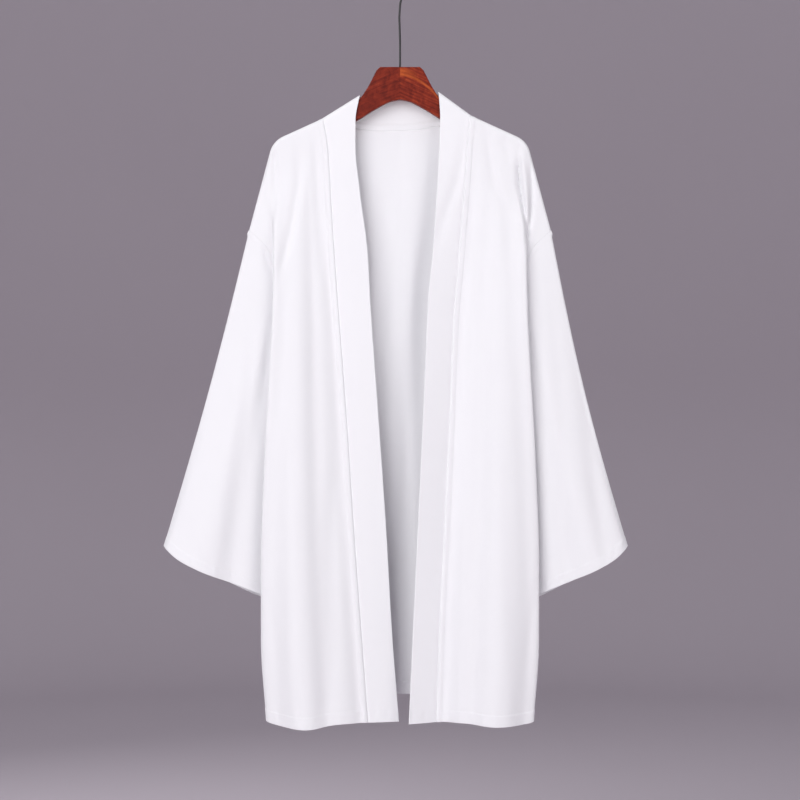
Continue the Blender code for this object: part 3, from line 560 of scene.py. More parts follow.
def band_neck(n, t):
    """Points of the collar band behind the neck, n from -1 on the right shoulder to 1 on the left."""
    on_left = (n > 0)[:, None]
    n = np.abs(n)
    seam = np.where(on_left, neck_line(LEFT, n, "seam"), neck_line(RIGHT, n, "seam") * (-1, 1, 1))
    top = np.where(on_left, neck_line(LEFT, n, "top"), neck_line(RIGHT, n, "top") * (-1, 1, 1))
    return seam[:, None] + (top - seam)[:, None] * t[None, :, None]


def armhole(side, a):
    """Points round the armhole: down the front seam to the underarm, then up the back seam."""
    front = a <= 0.5
    v = UNDERARM_V * 2 * np.where(front, a, 1 - a)
    ahead, behind = front_panel(side, np.ones(1), v)[0], back_half(side, np.ones(1), v)[0]
    return np.where(front[:, None], ahead, behind)


def cuff(side, a):
    """Points round the cuff opening."""
    table = read_table(CUFF_ROWS, CUFF_COLUMNS, a, flowing)
    out = table["x"] - CUFF_SPREAD_FROM
    x = CUFF_SPREAD_FROM + out * np.where(out > 0, CUFF_SPREAD[side], 1.0)
    return np.stack([x, table["y"], table["drop"]], axis=-1)


def sleeve(side, a, w):
    """Points of a sleeve: a runs round it and w from the armhole to the cuff."""
    top, bottom = armhole(side, a), cuff(side, a)
    points = top[:, None] + (bottom - top)[:, None] * w[None, :, None]
    hang = np.sin(np.pi * w)[None, :]
    points[..., 0] -= OUTER_BOW[side] * (np.cos(np.pi * a) ** 2)[:, None] * hang
    bow = UNDERARM_BOW * bell(a, 0.5, UNDERARM_BOW_WIDTH)
    points[..., 1] += bow[:, None] * hang
    inward = np.where(a < 0.5, 1.0, -1.0)[:, None]
    settle = smooth_step(w / 0.25)[None, :]
    points[..., 1] += inward * fold_depth(SLEEVE_FOLDS[side], a[:, None], w[None, :]) * settle
    return points


def placed(side, points):
    """Points in metres in the part's frame, from (x, y, drop) in millimetres on one side."""
    return points * np.array([side, 1.0, -1.0]) * MM


def crease_depth(creases, x, drop):
    """How far the creases push the cloth towards the wearer, read at x and drop."""
    total = np.zeros(np.broadcast(x, drop).shape)
    for crease in creases:
        stations = np.array(crease, float)
        line, width, depth = np.moveaxis(steady(stations[:, 0], stations[:, 1:], drop), -1, 0)
        total = total + depth * bell(x, line, width)
    return total


def plateau(distance, start, end, soft):
    """1 between start and end, with soft flanks."""
    return smooth_step((distance - start) / soft + 0.5) * smooth_step((end - distance) / soft + 0.5)


def puckers(along, from_edge, stitched_at, depth):
    """Small uneven waves along a stitched edge, deepest at its stitches."""
    turn = 2 * np.pi * along
    waves = sum(share * np.sin(turn / length + phase) for length, phase, share in PUCKER_WAVES)
    patchy = 0.55 + 0.45 * np.sin(turn / 137.0 + 1.0)
    return depth * waves * patchy * bell(from_edge, stitched_at * 0.7, PUCKER_REACH)


def seam_relief(from_seam):
    """Depth of the pressed seam on the panel's side of the collar band, read away from the seam."""
    rise = -SEAM_RISE * plateau(from_seam, 1.3, SEAM_TURNING, STEP_WIDTH)
    ditch = SEAM_DITCH * bell(from_seam, 0.0, DITCH_WIDTH)
    hollow = STITCH_HOLLOW * bell(from_seam, TOPSTITCH_FROM_SEAM, 0.7)
    return rise + ditch + hollow


def folded_edge(wall, from_edge):
    """A wall that rounds off where the cloth is folded at its edge."""
    inside = np.clip(1.0 - from_edge / FOLD_ROUND, 0.0, 1.0)
    return wall * np.maximum(np.sqrt(1.0 - inside * inside), 0.12)


def hem_wall(from_edge, turning):
    """Wall of a panel near its turned hem."""
    wall = ONE_LAYER + (HEM_LAYERS - ONE_LAYER) * smooth_step((turning - from_edge) / STEP_WIDTH + 0.5)
    return folded_edge(wall, from_edge)


def lengths(points, axis):
    """Distance along the grid's lines in one direction, from its first line."""
    steps = np.linalg.norm(np.diff(points, axis=axis), axis=-1)
    return np.insert(np.cumsum(steps, axis=axis), 0, 0.0, axis=axis)


def back_lengths(points):
    """Distance along the grid's lines down the cloth, from its last line."""
    return lengths(points[:, ::-1], 1)[:, ::-1]


def allowance_wall(from_seam, from_edge):
    """Wall of a panel beside a seam, whose turning lies under it."""
    turned = plateau(from_seam, 0.5, SEAM_TURNING, STEP_WIDTH)
    wall = ONE_LAYER + (SEAM_LAYERS - ONE_LAYER) * turned
    return np.minimum(wall, folded_edge(2.0, from_edge))


def front_cloth(side):
    """Grid of a front panel, and its wall at each point."""
    u, v = FRONT_ACROSS, DOWN
    points = front_panel(side, u, v)
    x, drop = points[..., 0], points[..., 2]
    across, down = u[:, None], v[None, :]
    free = smooth_step(down / 0.02) * smooth_step(across / 0.05) * smooth_step((1 - across) / 0.03)
    from_seam = x - x[:1]
    from_edge = back_lengths(points)
    depth = crease_depth(FRONT_CREASES[side], x, drop) * free
    depth = depth + seam_relief(from_seam) * smooth_step(down / 0.008)
    pucker = puckers(x + 40 * side, from_edge, FRONT_HEM[side], PUCKER_DEPTH["front"])
    points[..., 1] += depth + pucker * smooth_step((1 - across) / 0.05)
    wall = hem_wall(from_edge, FRONT_HEM[side])
    return points, np.maximum(wall, allowance_wall(from_seam, from_edge))


def back_cloth():
    """Grid of the whole back panel, and its wall at each point."""
    halves = [back_half(side, BACK_ACROSS, DOWN) * (side, 1, 1) for side in (RIGHT, LEFT)]
    points = np.concatenate([halves[0][:0:-1], (halves[0][:1] + halves[1][:1]) / 2, halves[1][1:]])
    across = np.concatenate([-BACK_ACROSS[:0:-1], BACK_ACROSS])[:, None]
    down = DOWN[None, :]
    x, drop = points[..., 0], points[..., 2]
    from_edge, from_side = back_lengths(points), 1 - np.abs(across)
    free = smooth_step(down / 0.03) * smooth_step(from_side / 0.03)
    pucker = puckers(x, from_edge, BACK_HEM, PUCKER_DEPTH["back"]) * smooth_step(from_side / 0.05)
    points[..., 1] -= crease_depth(BACK_CREASES, x, drop) * free + pucker
    return points, hem_wall(from_edge, BACK_HEM)


def band_cloth(side):
    """Grid of the collar band in front, and its wall."""
    t, v = BAND_ACROSS, DOWN
    points = band_front(side, t, v)
    from_seam = np.abs(points[..., 0] - points[:1, :, 0])
    across, down = t[:, None], v[None, :]
    free = smooth_step(down / 0.02) * smooth_step(from_seam / 4.0)
    depth = crease_depth(FRONT_CREASES[side], points[..., 0], points[..., 2]) * free
    ditch = SEAM_DITCH * bell(from_seam, 0.0, 2 * DITCH_WIDTH) * smooth_step(down / 0.008)
    depth = depth + ditch - BAND_CROWN * np.sin(np.pi * across) * smooth_step(down / 0.05)
    from_hem = BAND_HEM_DROP - points[..., 2]
    pucker = puckers(points[..., 0], from_hem, FRONT_HEM[side], PUCKER_DEPTH["band"])
    points[..., 1] += depth + pucker * smooth_step(across / 0.1)
    from_fold = np.abs(points[..., 0] - points[-1:, :, 0])
    return points, folded_edge(BAND_WALL + 0 * depth, from_fold)


def neck_cloth():
    """Grid of the collar band behind the neck, and its wall."""
    half = BACK_ACROSS[BACK_ACROSS <= BACK_U[2]] / BACK_U[2]
    n = np.concatenate([-half[:0:-1], half])
    points = band_neck(n, BAND_ACROSS)
    from_seam, from_fold = lengths(points, 1), back_lengths(points)
    ease = smooth_step((1 - np.abs(n)[:, None]) / 0.06)
    relief = NECK_STEP * plateau(from_seam, NECK_STEP_AT, 60.0, 1.4)
    relief = relief - NECK_DITCH * bell(from_seam, NECK_STEP_AT, 1.0)
    relief = relief + SEAM_DITCH * 1.6 * bell(from_seam, 0.0, DITCH_WIDTH)
    points[..., 1] += relief * ease
    return points, folded_edge(BAND_WALL + 0 * from_fold, from_fold)


def sleeve_cloth(side):
    """Grid of a sleeve, round it and down it, and its wall."""
    down_front = DOWN[DOWN <= UNDERARM_V] / UNDERARM_V / 2
    a = np.concatenate([down_front, 1 - down_front[-2:0:-1]])
    points = sleeve(side, a, SLEEVE_DOWN)
    x, drop = points[..., 0], points[..., 2]
    from_armhole, from_edge = lengths(points, 1), back_lengths(points)
    in_front = (a < 0.5)[:, None]
    around = a[:, None]
    from_fold = np.minimum(np.minimum(around, 1 - around), np.abs(around - 0.5))
    free = smooth_step(from_fold / 0.02) * smooth_step(from_armhole / 5.0)
    ahead, behind = (crease_depth(FRONT_CREASES[side], x, drop), crease_depth(BACK_CREASES, side * x, drop))
    push = np.where(in_front, ahead, -behind)
    outward = np.where(in_front, -1.0, 1.0)
    pucker = puckers(x * 1.1 + 30 * side, from_edge, CUFF_HEM, PUCKER_DEPTH["cuff"])
    points[..., 1] += push * free + outward * (pucker * smooth_step(from_fold / 0.03))
    points[..., 0] += JOG * bell(from_armhole, JOG_AT, JOG_WIDTH) * np.cos(np.pi * around) ** 8
    wall = hem_wall(from_edge, CUFF_HEM)
    return points, np.maximum(wall, allowance_wall(from_armhole, from_edge))


def add_object(name, data):
    """A new object in the scene, at the origin."""
    obj = bpy.data.objects.new(name, data)
    bpy.context.scene.collection.objects.link(obj)
    return obj


def into_mesh(bm, mesh):
    """Writes a shape into a mesh, with its faces turned outwards."""
    bmesh.ops.recalc_face_normals(bm, faces=bm.faces)
    bm.to_mesh(mesh)
    bm.free()


def grid_normals(points, closed):
    """Unit normals of a grid of points, wrapping round where the grid is closed across."""
    if closed:
        across = np.roll(points, -1, axis=0) - np.roll(points, 1, axis=0)
    else:
        across = np.gradient(points, axis=0)
    normals = np.cross(across, np.gradient(points, axis=1))
    return normals / np.maximum(np.linalg.norm(normals, axis=-1, keepdims=True), 1e-12)


def faces_of(across, down, closed, first, flip):
    """Quads of one grid of vertices, as rows of four indices, and the matching grid places."""
    i, j = np.meshgrid(np.arange(across if closed else across - 1), np.arange(down - 1), indexing="ij")
    i, j = i.ravel(), j.ravel()
    corners = np.stack([(i, j), (i, j + 1), (i + 1, j + 1), (i + 1, j)], axis=-1)
    if flip:
        corners = corners[:, :, ::-1]
    return first + corners[0] % across * down + corners[1], corners


def cloth_piece(name, points, wall, material, closed=False):
    """A closed shell from a grid in metres and its wall in millimetres, with a UV map in metres."""
    across, down = points.shape[:2]
    normals = grid_normals(points, closed)
    half = normals * wall[..., None] * MM / 2
    vertices = np.concatenate([(points + half).reshape(-1, 3), (points - half).reshape(-1, 3)])
    inner = across * down
    outer_faces, outer_at = faces_of(across, down, closed, 0, False)
    inner_faces, inner_at = faces_of(across, down, closed, inner, True)
    faces, places = [outer_faces, inner_faces], [outer_at, inner_at]
    ends = across if closed else across - 1
    i = np.arange(ends)
    for j in (0, down - 1):
        low, high = i * down + j, (i + 1) % across * down + j
        faces.append(np.stack([low, high, high + inner, low + inner], axis=-1))
        at = np.stack([i, i + 1, i + 1, i])
        places.append(np.stack([at, np.full_like(at, j)]).transpose(0, 2, 1))
    if not closed:
        j = np.arange(down - 1)
        for i in (0, across - 1):
            low, high = i * down + j, i * down + j + 1
            faces.append(np.stack([low, high, high + inner, low + inner], axis=-1))
            at = np.stack([j, j + 1, j + 1, j])
            places.append(np.stack([np.full_like(at, i), at]).transpose(0, 2, 1))
    faces = np.concatenate(faces)
    mesh = bpy.data.meshes.new(name)
    mesh.from_pydata(vertices.tolist(), [], faces.tolist())
    wrapped = np.concatenate([points, points[:1]]) if closed else points
    along, length = lengths(wrapped, 0), lengths(wrapped, 1)
    place = np.concatenate([p.transpose(1, 2, 0).reshape(-1, 2) for p in places])
    uv = np.stack([along[place[:, 0], place[:, 1]], length[place[:, 0], place[:, 1]]], axis=-1)
    mesh.uv_layers.new(name="cut")
    mesh.uv_layers["cut"].uv.foreach_set("vector", uv.astype(np.float32).ravel())
    bm = bmesh.new()
    bm.from_mesh(mesh)
    into_mesh(bm, mesh)
    mesh.shade_smooth()
    mesh.set_sharp_from_angle(angle=math.radians(55))
    mesh.materials.append(material)
    return add_object(name, mesh), points + half, points - half


def line_at(surface, measure, value, axis):
    """The line on a grid where a measure along one of its axes passes a value."""
    surface, measure = np.moveaxis(surface, axis, 1), np.moveaxis(measure, axis, 1)
    line = []
    for points, row in zip(surface, measure):
        order = np.argsort(row)
        line.append([np.interp(value, row[order], points[order, k]) for k in range(3)])
    return np.array(line)


class Signal:
    """An output of a shader node that Python operators work on, as on a number."""

    def __init__(self, finish, socket):
        self.finish, self.socket = finish, socket

    def __getitem__(self, name):
        return Signal(self.finish, self.socket.node.outputs[name])

    def apply(self, operation, *others):
        return self.finish.node("ShaderNodeMath", {"operation": operation}, dict(enumerate((self, *others))))

    def __add__(self, other):
        return self.apply("ADD", other)

    def __mul__(self, other):
        return self.apply("MULTIPLY", other)

    def __sub__(self, other):
        return self.apply("SUBTRACT", other)

    def __rsub__(self, other):
        return self.finish.node("ShaderNodeMath", {"operation": "SUBTRACT"}, {0: other, 1: self})

    def at_least(self, low):
        return self.apply("MAXIMUM", low)

    def at_most(self, high):
        return self.apply("MINIMUM", high)

    __radd__ = __add__
    __rmul__ = __mul__


class Finish:
    """A material and the nodes that make it."""

    def __init__(self, name):
        self.material = bpy.data.materials.new(name)
        self.material.use_nodes = True
        self.tree = self.material.node_tree
        self.tree.nodes.clear()

    def node(self, kind, settings=None, inputs=None, output=0):
        """Adds a node: its settings first, then the values or links of its sockets."""
        node = self.tree.nodes.new(kind)
        for name, value in (settings or {}).items():
            if name == "stops":
                self.set_stops(node.color_ramp, value)
            else:
                setattr(node, name, value)
        for name, value in (inputs or {}).items():
            if isinstance(value, Signal):
                self.tree.links.new(value.socket, node.inputs[name])
            else:
                node.inputs[name].default_value = value
        return Signal(self, node.outputs[output]) if node.outputs else node

    @staticmethod
    def set_stops(ramp, stops):
        while len(ramp.elements) < len(stops):
            ramp.elements.new(0.5)
        for element, (position, colour) in zip(ramp.elements, stops):
            element.position = position
            element.color = (*colour, 1.0)

    def mix(self, factor, first, second):
        """Two colours mixed by a factor."""
        colours = [c if isinstance(c, Signal) else (*c, 1.0) for c in (first, second)]
        inputs = {0: factor, 6: colours[0], 7: colours[1]}
        return self.node("ShaderNodeMix", {"data_type": "RGBA"}, inputs, 2)

    def place(self):
        """Where a point lies on its object, in metres."""
        return self.node("ShaderNodeTexCoord", {}, {}, "Object")

    def parts(self, vector):
        """A vector taken apart, to be read by X, Y and Z."""
        return self.node("ShaderNodeSeparateXYZ", {}, {"Vector": vector})

    def scaled(self, vector, scale):
        return self.node("ShaderNodeVectorMath", {"operation": "MULTIPLY"}, {0: vector, 1: scale})

    def noise(self, vector, scale, detail=2.0, distortion=0.0):
        inputs = {"Vector": vector, "Scale": scale, "Detail": detail, "Distortion": distortion}
        return self.node("ShaderNodeTexNoise", {}, inputs)

    def bump(self, height, strength, distance, normal=None):
        inputs = {"Height": height, "Strength": strength, "Distance": distance}
        if normal is not None:
            inputs["Normal"] = normal
        return self.node("ShaderNodeBump", {}, inputs)

    def surface(self, inputs):
        return self.node("ShaderNodeBsdfPrincipled", {}, inputs)

    def finish_with(self, shader):
        self.node("ShaderNodeOutputMaterial", {}, {"Surface": shader})
        return self.material


def cloth_finish(name, light, see_through):
    """Thin crepe with a soft sheen: fine crossed threads and a slight pebble, on the cut's own UV map."""
    cloth = Finish(name)
    cut = cloth.scaled(cloth.node("ShaderNodeUVMap", {"uv_map": "cut"}), METRES_TO_MM)
    parts = cloth.parts(cut)
    weft = (parts["X"] * (2 * math.pi / THREAD_PITCH)).apply("SINE")
    warp = (parts["Y"] * (2 * math.pi / THREAD_PITCH)).apply("SINE")
    pebble = cloth.noise(cut, 1.7, 2.0, 0.6)
    relief = weft * warp * 0.35 + pebble
    drift = cloth.noise(cut, 0.012, 3.0)
    slub = cloth.noise(cloth.scaled(cut, (0.05, 1.2, 1.0)), 1.0, 2.0)
    colour = cloth.mix(drift * 0.5 + slub * 0.35, light, CREPE_SHADE)
    fine = cloth.bump(relief, 0.35, 0.00007)
    soft = cloth.bump(cloth.noise(cut, 0.055, 2.0), 0.35, 0.0006, fine)
    shader = cloth.surface({
        "Base Color": colour, "Roughness": 0.52 + 0.16 * pebble + 0.08 * drift, "Normal": soft,
        "Sheen Weight": 0.18, "Sheen Roughness": 0.4, "Specular IOR Level": 0.35,
    })
    through = cloth.node("ShaderNodeBsdfTranslucent", {}, {"Color": colour, "Normal": soft})
    both = cloth.node("ShaderNodeMixShader", {}, {0: see_through, 1: shader, 2: through})
    return cloth.finish_with(both)


def thread_finish():
    """White sewing thread with its twist, with painted shade in its grooves and painted light on its ridges.
    """
    thread = Finish("white_thread")
    parts = thread.parts(thread.scaled(thread.place(), METRES_TO_MM))
    twist = ((parts["X"] + parts["Z"]) * THREAD_TWIST).apply("SINE")
    # Painted shade and light: the colour follows the twist's relief, darker in its grooves and lighter on
    # its ridges
    return thread.finish_with(thread.surface({
        "Base Color": thread.mix(0.5 + 0.5 * twist, THREAD_SHADE, THREAD_LIGHT),
        "Roughness": 0.45 + 0.1 * twist, "Normal": thread.bump(twist, 0.4, 0.00005), "Sheen Weight": 0.2,
    }))


def wood_finish():
    """Red-brown lacquer over wood whose two halves mirror each other's grain at the centre joint, with a
    highlight painted along the top of one half.
    """
    wood = Finish("red_lacquered_wood")
    place = wood.place()
    parts = wood.parts(place)
    out = parts["X"].apply("ABSOLUTE")
    on_left = (parts["X"] * HALVES_EDGE + 0.5).at_least(0.0).at_most(1.0)
    along = out * math.cos(SLOPE_ANGLE) - parts["Z"] * math.sin(SLOPE_ANGLE)
    over = out * math.sin(SLOPE_ANGLE) + parts["Z"] * math.cos(SLOPE_ANGLE)
    grain = {"X": along * GRAIN_ALONG, "Y": parts["Y"] * GRAIN_THROUGH, "Z": over * GRAIN_OVER}
    grain_at = wood.node("ShaderNodeCombineXYZ", {}, grain)
    wander = wood.noise(grain_at, 0.35, 3.0, 1.4)
    streak = wood.noise(grain_at, 1.0, 6.0, 1.2)
    mottle = wood.noise(wood.scaled(place, (120.0, 60.0, 90.0)), 1.0, 3.0, 0.9)
    pores = wood.noise(wood.scaled(grain_at, (3.0, 4.0, 4.0)), 2.2, 4.0)
    rings = (over * RING_RATE + wander * RING_WANDER).apply("SINE") * 0.5 + 0.5
    lines = streak * 0.5 + mottle * 0.45 + rings * (0.03 + 0.10 * on_left)
    colour = wood.node("ShaderNodeValToRGB", {"stops": WOOD_TONES}, {"Fac": lines})
    # Painted highlight: a bright band along an arch under the bar's top edge, and a lit patch above it near
    # the centre, on one half only
    highlight_from = 0.0 - parts["Z"] - out * out * HIGHLIGHT_ARCH - HIGHLIGHT_DROP
    highlight = (1.0 - (highlight_from * HIGHLIGHT_EDGE).apply("ABSOLUTE")).at_least(0.0)
    lit_patch = (1.0 - ((highlight_from + LIT_PATCH_LIFT) * LIT_PATCH_EDGE).apply("ABSOLUTE")).at_least(0.0)
    lit_patch = lit_patch * (1.0 - out * LIT_PATCH_REACH).at_least(0.0)
    painted_highlight = (highlight * 0.7 + lit_patch * 0.9).at_most(1.0) * on_left
    colour = wood.mix(painted_highlight * (0.35 + streak), colour, WOOD_PAINTED_HIGHLIGHT)
    joint = (1.0 - out * JOINT_EDGE).at_least(0.0)
    colour = wood.mix(joint * 0.6, colour, WOOD_JOINT)
    dark_pores = ((pores - PORES_FROM).at_least(0.0) * 2.6).at_most(0.7)
    colour = wood.mix(dark_pores, colour, WOOD_PORE)
    return wood.finish_with(wood.surface({
        "Base Color": colour, "Roughness": 0.38 + 0.14 * streak, "Specular IOR Level": 0.12,
        "Normal": wood.bump(pores * 0.6 + streak * 0.4, 0.12, 0.0002),
        "Coat Weight": 0.05 + 0.10 * wander, "Coat Roughness": 0.08,
    }))


def wire_finish():
    """Black paint on bent wire, slightly uneven, with a few rubbed spots."""
    wire = Finish("black_painted_wire")
    spread = wire.noise(wire.place(), 900.0, 3.0)
    rubbed = ((wire.noise(wire.place(), 240.0, 4.0) - RUBBED_FROM).at_least(0.0) * 6.0).at_most(1.0)
    return wire.finish_with(wire.surface({
        "Base Color": wire.mix(rubbed, PAINT_BLACK, PAINT_RUBBED), "Roughness": 0.28 + 0.2 * spread,
        "Metallic": rubbed * 0.7, "Normal": wire.bump(spread, 0.2, 0.0001),
    }))


def floor_finish():
    """Pale matt floor and surround, very slightly uneven."""
    floor = Finish("pale_surround")
    drift = floor.noise(floor.place(), 0.6, 2.0)
    return floor.finish_with(floor.surface({
        "Base Color": floor.mix(drift, SURROUND_LIGHT, SURROUND_SHADE), "Roughness": 0.85,
        "Specular IOR Level": 0.15,
    }))


def nearer_front(outer, inner):
    """Whichever face of a wall lies further forward."""
    return min((outer, inner), key=lambda face: face[..., 1].mean())


def make_jacket(cloth, band):
    """The eight pieces of cloth, and the rows of stitches that hold them.

    Each row stops a few points of its grid short of the piece's edges.
    """
    pieces, rows = {}, []

    def lay(node, side, made, material, closed=False):
        """Adds one piece, and gives its grid and the two faces of its wall."""
        grid, wall = made
        order = slice(None, None, side)
        points = placed(side, grid)[order]
        pieces[node], outer, inner = cloth_piece(f"{node}_cloth", points, wall[order], material, closed)
        return grid, outer[order], inner[order]

    for side, name in ((RIGHT, "right"), (LEFT, "left")):
        grid, *walls = lay(f"{name}_front", side, front_cloth(side), cloth)
        face = nearer_front(*walls)
        from_seam = grid[..., 0] - grid[:1, :, 0]
        rows.append(line_at(face, back_lengths(grid), FRONT_HEM[side], 1)[4:-3])
        rows.append(line_at(face, from_seam, TOPSTITCH_FROM_SEAM, 0)[14:-3])
        grid, *walls = lay(f"{name}_band", side, band_cloth(side), band)
        from_hem = BAND_HEM_DROP - grid[..., 2]
        rows.append(line_at(nearer_front(*walls), from_hem, FRONT_HEM[side], 1)[3:-2])
        grid, *walls = lay(f"{name}_sleeve", side, sleeve_cloth(side), cloth, closed=True)
        face = max(walls, key=lambda wall: np.ptp(wall[:, -1, 1]))
        ring = line_at(face, back_lengths(grid), CUFF_HEM, 1)
        rows.append(np.concatenate([ring, ring[:1]]))
    grid, *walls = lay("back", LEFT, back_cloth(), cloth)
    for face in walls:
        rows.append(line_at(face, back_lengths(grid), BACK_HEM, 1)[3:-3])
    grid, *walls = lay("neck_band", LEFT, neck_cloth(), band)
    rows.append(line_at(nearer_front(*walls), lengths(grid, 1), NECK_STEP_AT, 1)[4:-4])
    return pieces, rows


def stitch_tree():
    """Geometry Nodes: one short thread at each step along every row."""
    tree = bpy.data.node_groups.new("stitches", "GeometryNodeTree")
    face, nodes = tree.interface, tree.nodes
    face.new_socket("Rows", in_out="INPUT", socket_type="NodeSocketGeometry")
    for name in ("Pitch", "Length", "Thickness"):
        face.new_socket(name, in_out="INPUT", socket_type="NodeSocketFloat")
    face.new_socket("Thread", in_out="INPUT", socket_type="NodeSocketMaterial")
    face.new_socket("Stitches", in_out="OUTPUT", socket_type="NodeSocketGeometry")
    given = nodes.new("NodeGroupInput")
    steps = nodes.new("GeometryNodeResampleCurve")
    steps.mode = "LENGTH"
    bead = nodes.new("GeometryNodeMeshUVSphere")
    for name, value in (("Segments", 6), ("Rings", 4), ("Radius", 0.5)):
        bead.inputs[name].default_value = value
    size = nodes.new("ShaderNodeCombineXYZ")
    stitch = nodes.new("GeometryNodeTransform")
    heading = nodes.new("GeometryNodeInputTangent")
    turn = nodes.new("FunctionNodeAlignRotationToVector")
    turn.axis = "X"
    each = nodes.new("GeometryNodeInstanceOnPoints")
    real = nodes.new("GeometryNodeRealizeInstances")
    coloured = nodes.new("GeometryNodeSetMaterial")
    made = nodes.new("NodeGroupOutput")
    for source, output, target, socket in (
        (given, "Rows", steps, "Curve"), (given, "Pitch", steps, "Length"),
        (given, "Length", size, "X"), (given, "Thickness", size, "Y"), (given, "Thickness", size, "Z"),
        (bead, "Mesh", stitch, "Geometry"), (size, "Vector", stitch, "Scale"),
        (heading, "Tangent", turn, "Vector"), (steps, "Curve", each, "Points"),
        (stitch, "Geometry", each, "Instance"), (turn, "Rotation", each, "Rotation"),
        (each, "Instances", real, "Geometry"), (real, "Geometry", coloured, "Geometry"),
        (given, "Thread", coloured, "Material"), (coloured, "Geometry", made, "Stitches"),
    ):
        tree.links.new(source.outputs[output], target.inputs[socket])
    return tree


def make_stitches(rows, thread):
    """Every row of stitches as one plain mesh."""
    curve = bpy.data.curves.new("stitch_rows", "CURVE")
    curve.dimensions = "3D"
    for row in rows:
        spline = curve.splines.new("POLY")
        spline.points.add(len(row) - 1)
        spline.points.foreach_set("co", np.column_stack([row, np.ones(len(row))]).ravel())
    guide = add_object("stitch_rows", curve)
    tree = stitch_tree()
    modifier = guide.modifiers.new("stitches", "NODES")
    modifier.node_group = tree
    values = {"Pitch": STITCH_PITCH * MM, "Length": STITCH_LENGTH * MM, "Thickness": STITCH_THICK * MM,
              "Thread": thread}
    for item in tree.interface.items_tree:
        if item.in_out == "INPUT" and item.name in values:
            modifier[item.identifier] = values[item.name]
    bpy.context.view_layer.update()
    graph = bpy.context.evaluated_depsgraph_get()
    mesh = bpy.data.meshes.new_from_object(guide.evaluated_get(graph))
    bpy.data.objects.remove(guide)
    mesh.name = "stitches"
    mesh.shade_smooth()
    return add_object("stitches", mesh)


def wood_arm():
    """Points (x, drop) along the top edge of the wooden arm, out to its tip."""
    points = []
    for r in (-14.0, 10.0, 35.0, *np.linspace(SLOPE_LENGTH, SLOPE_LENGTH + WOOD_TIP_REACH, 8)):
        x, drop = shoulder_at(r)
        round_tip = max(r - SLOPE_LENGTH, 0.0)
        heading = SLOPE_ANGLE + round_tip / TIP_RADIUS
        below = WOOD_UNDER_SHOULDER + WOOD_TIP_EXTRA * round_tip / WOOD_TIP_REACH
        points.append((float(x) - below * math.sin(heading), float(drop) + below * math.cos(heading)))
    return points


def rounded_line(points, per_span):
    """A rounded line through points (x, drop)."""
    points = np.array(points)
    stations = np.insert(np.cumsum(np.linalg.norm(np.diff(points, axis=0), axis=1)), 0, 0.0)
    spans = zip(stations, stations[1:])
    at = [t for a, b in spans for t in np.linspace(a, b, per_span, endpoint=False)]
    return [tuple(p) for p in flowing(stations, points, np.append(at, stations[-1]))]


def make_wood(wood):
    """The wooden bar with rounded edges."""
    arm = wood_arm()
    tip_x, tip_drop = arm[-1]
    tip = rounded_line(
        [(tip_x, tip_drop), (tip_x + 1.5, tip_drop + WOOD_TIP_DEEP * 0.5),
         (tip_x - 1.0, tip_drop + WOOD_TIP_DEEP * 0.85), (tip_x - 6.0, tip_drop + WOOD_TIP_DEEP)], 4
    )
    top = rounded_line(WOOD_TOP_ROWS[2:] + (arm[0],), 5)
    under = rounded_line(WOOD_UNDER_ROWS, 5)
    half = [WOOD_TOP_ROWS[1], *top[:-1], *arm, *tip[1:], *under[::-1][:-1]]
    outline = [(-x, drop) for x, drop in half[::-1]] + half + [WOOD_UNDER_ROWS[0]]
    mesh = bpy.data.meshes.new("wooden_bar")
    bm = bmesh.new()
    front = [bm.verts.new((x * MM, -WOOD_THICK / 2 * MM, -drop * MM)) for x, drop in outline]
    back = [bm.verts.new((x * MM, WOOD_THICK / 2 * MM, -drop * MM)) for x, drop in outline]
    bm.faces.new(front)
    bm.faces.new(back[::-1])
    for k, start in enumerate(front):
        after = (k + 1) % len(front)
        bm.faces.new((start, back[k], back[after], front[after]))
    into_mesh(bm, mesh)
    mesh.materials.append(wood)
    bar = add_object("wooden_bar", mesh)
    edge = bar.modifiers.new("rounded edges", "BEVEL")
    edge.width = WOOD_ROUND * MM
    edge.segments = 4
    edge.limit_method = "ANGLE"
    edge.angle_limit = math.radians(50)
    edge.harden_normals = True
    mesh.shade_smooth()
    return bar


def hook_path():
    """Points (x, z) in millimetres along the wire: up the stem, out through the bend and over."""
    centre_drop = HOOK_RADIUS - WIRE_RADIUS
    start = HOOK_BEND_END
    join = (HOOK_RADIUS * math.cos(start), -centre_drop + HOOK_RADIUS * math.sin(start))
    bend_foot = join[1] - HOOK_BEND_RADIUS
    path = [(0.0, -(WOOD_TOP_ROWS[0][1] + HOOK_SEAT)), (0.0, bend_foot - 60.0), (0.0, bend_foot - 6.0)]
    path += [(0.6, bend_foot - 2.0), (join[0] * 0.42, join[1] - 5.6), (join[0] * 0.80, join[1] - 2.0)]
    for angle in np.linspace(start, HOOK_TIP_ANGLE, 22):
        path.append((HOOK_RADIUS * math.cos(angle), -centre_drop + HOOK_RADIUS * math.sin(angle)))
    return path


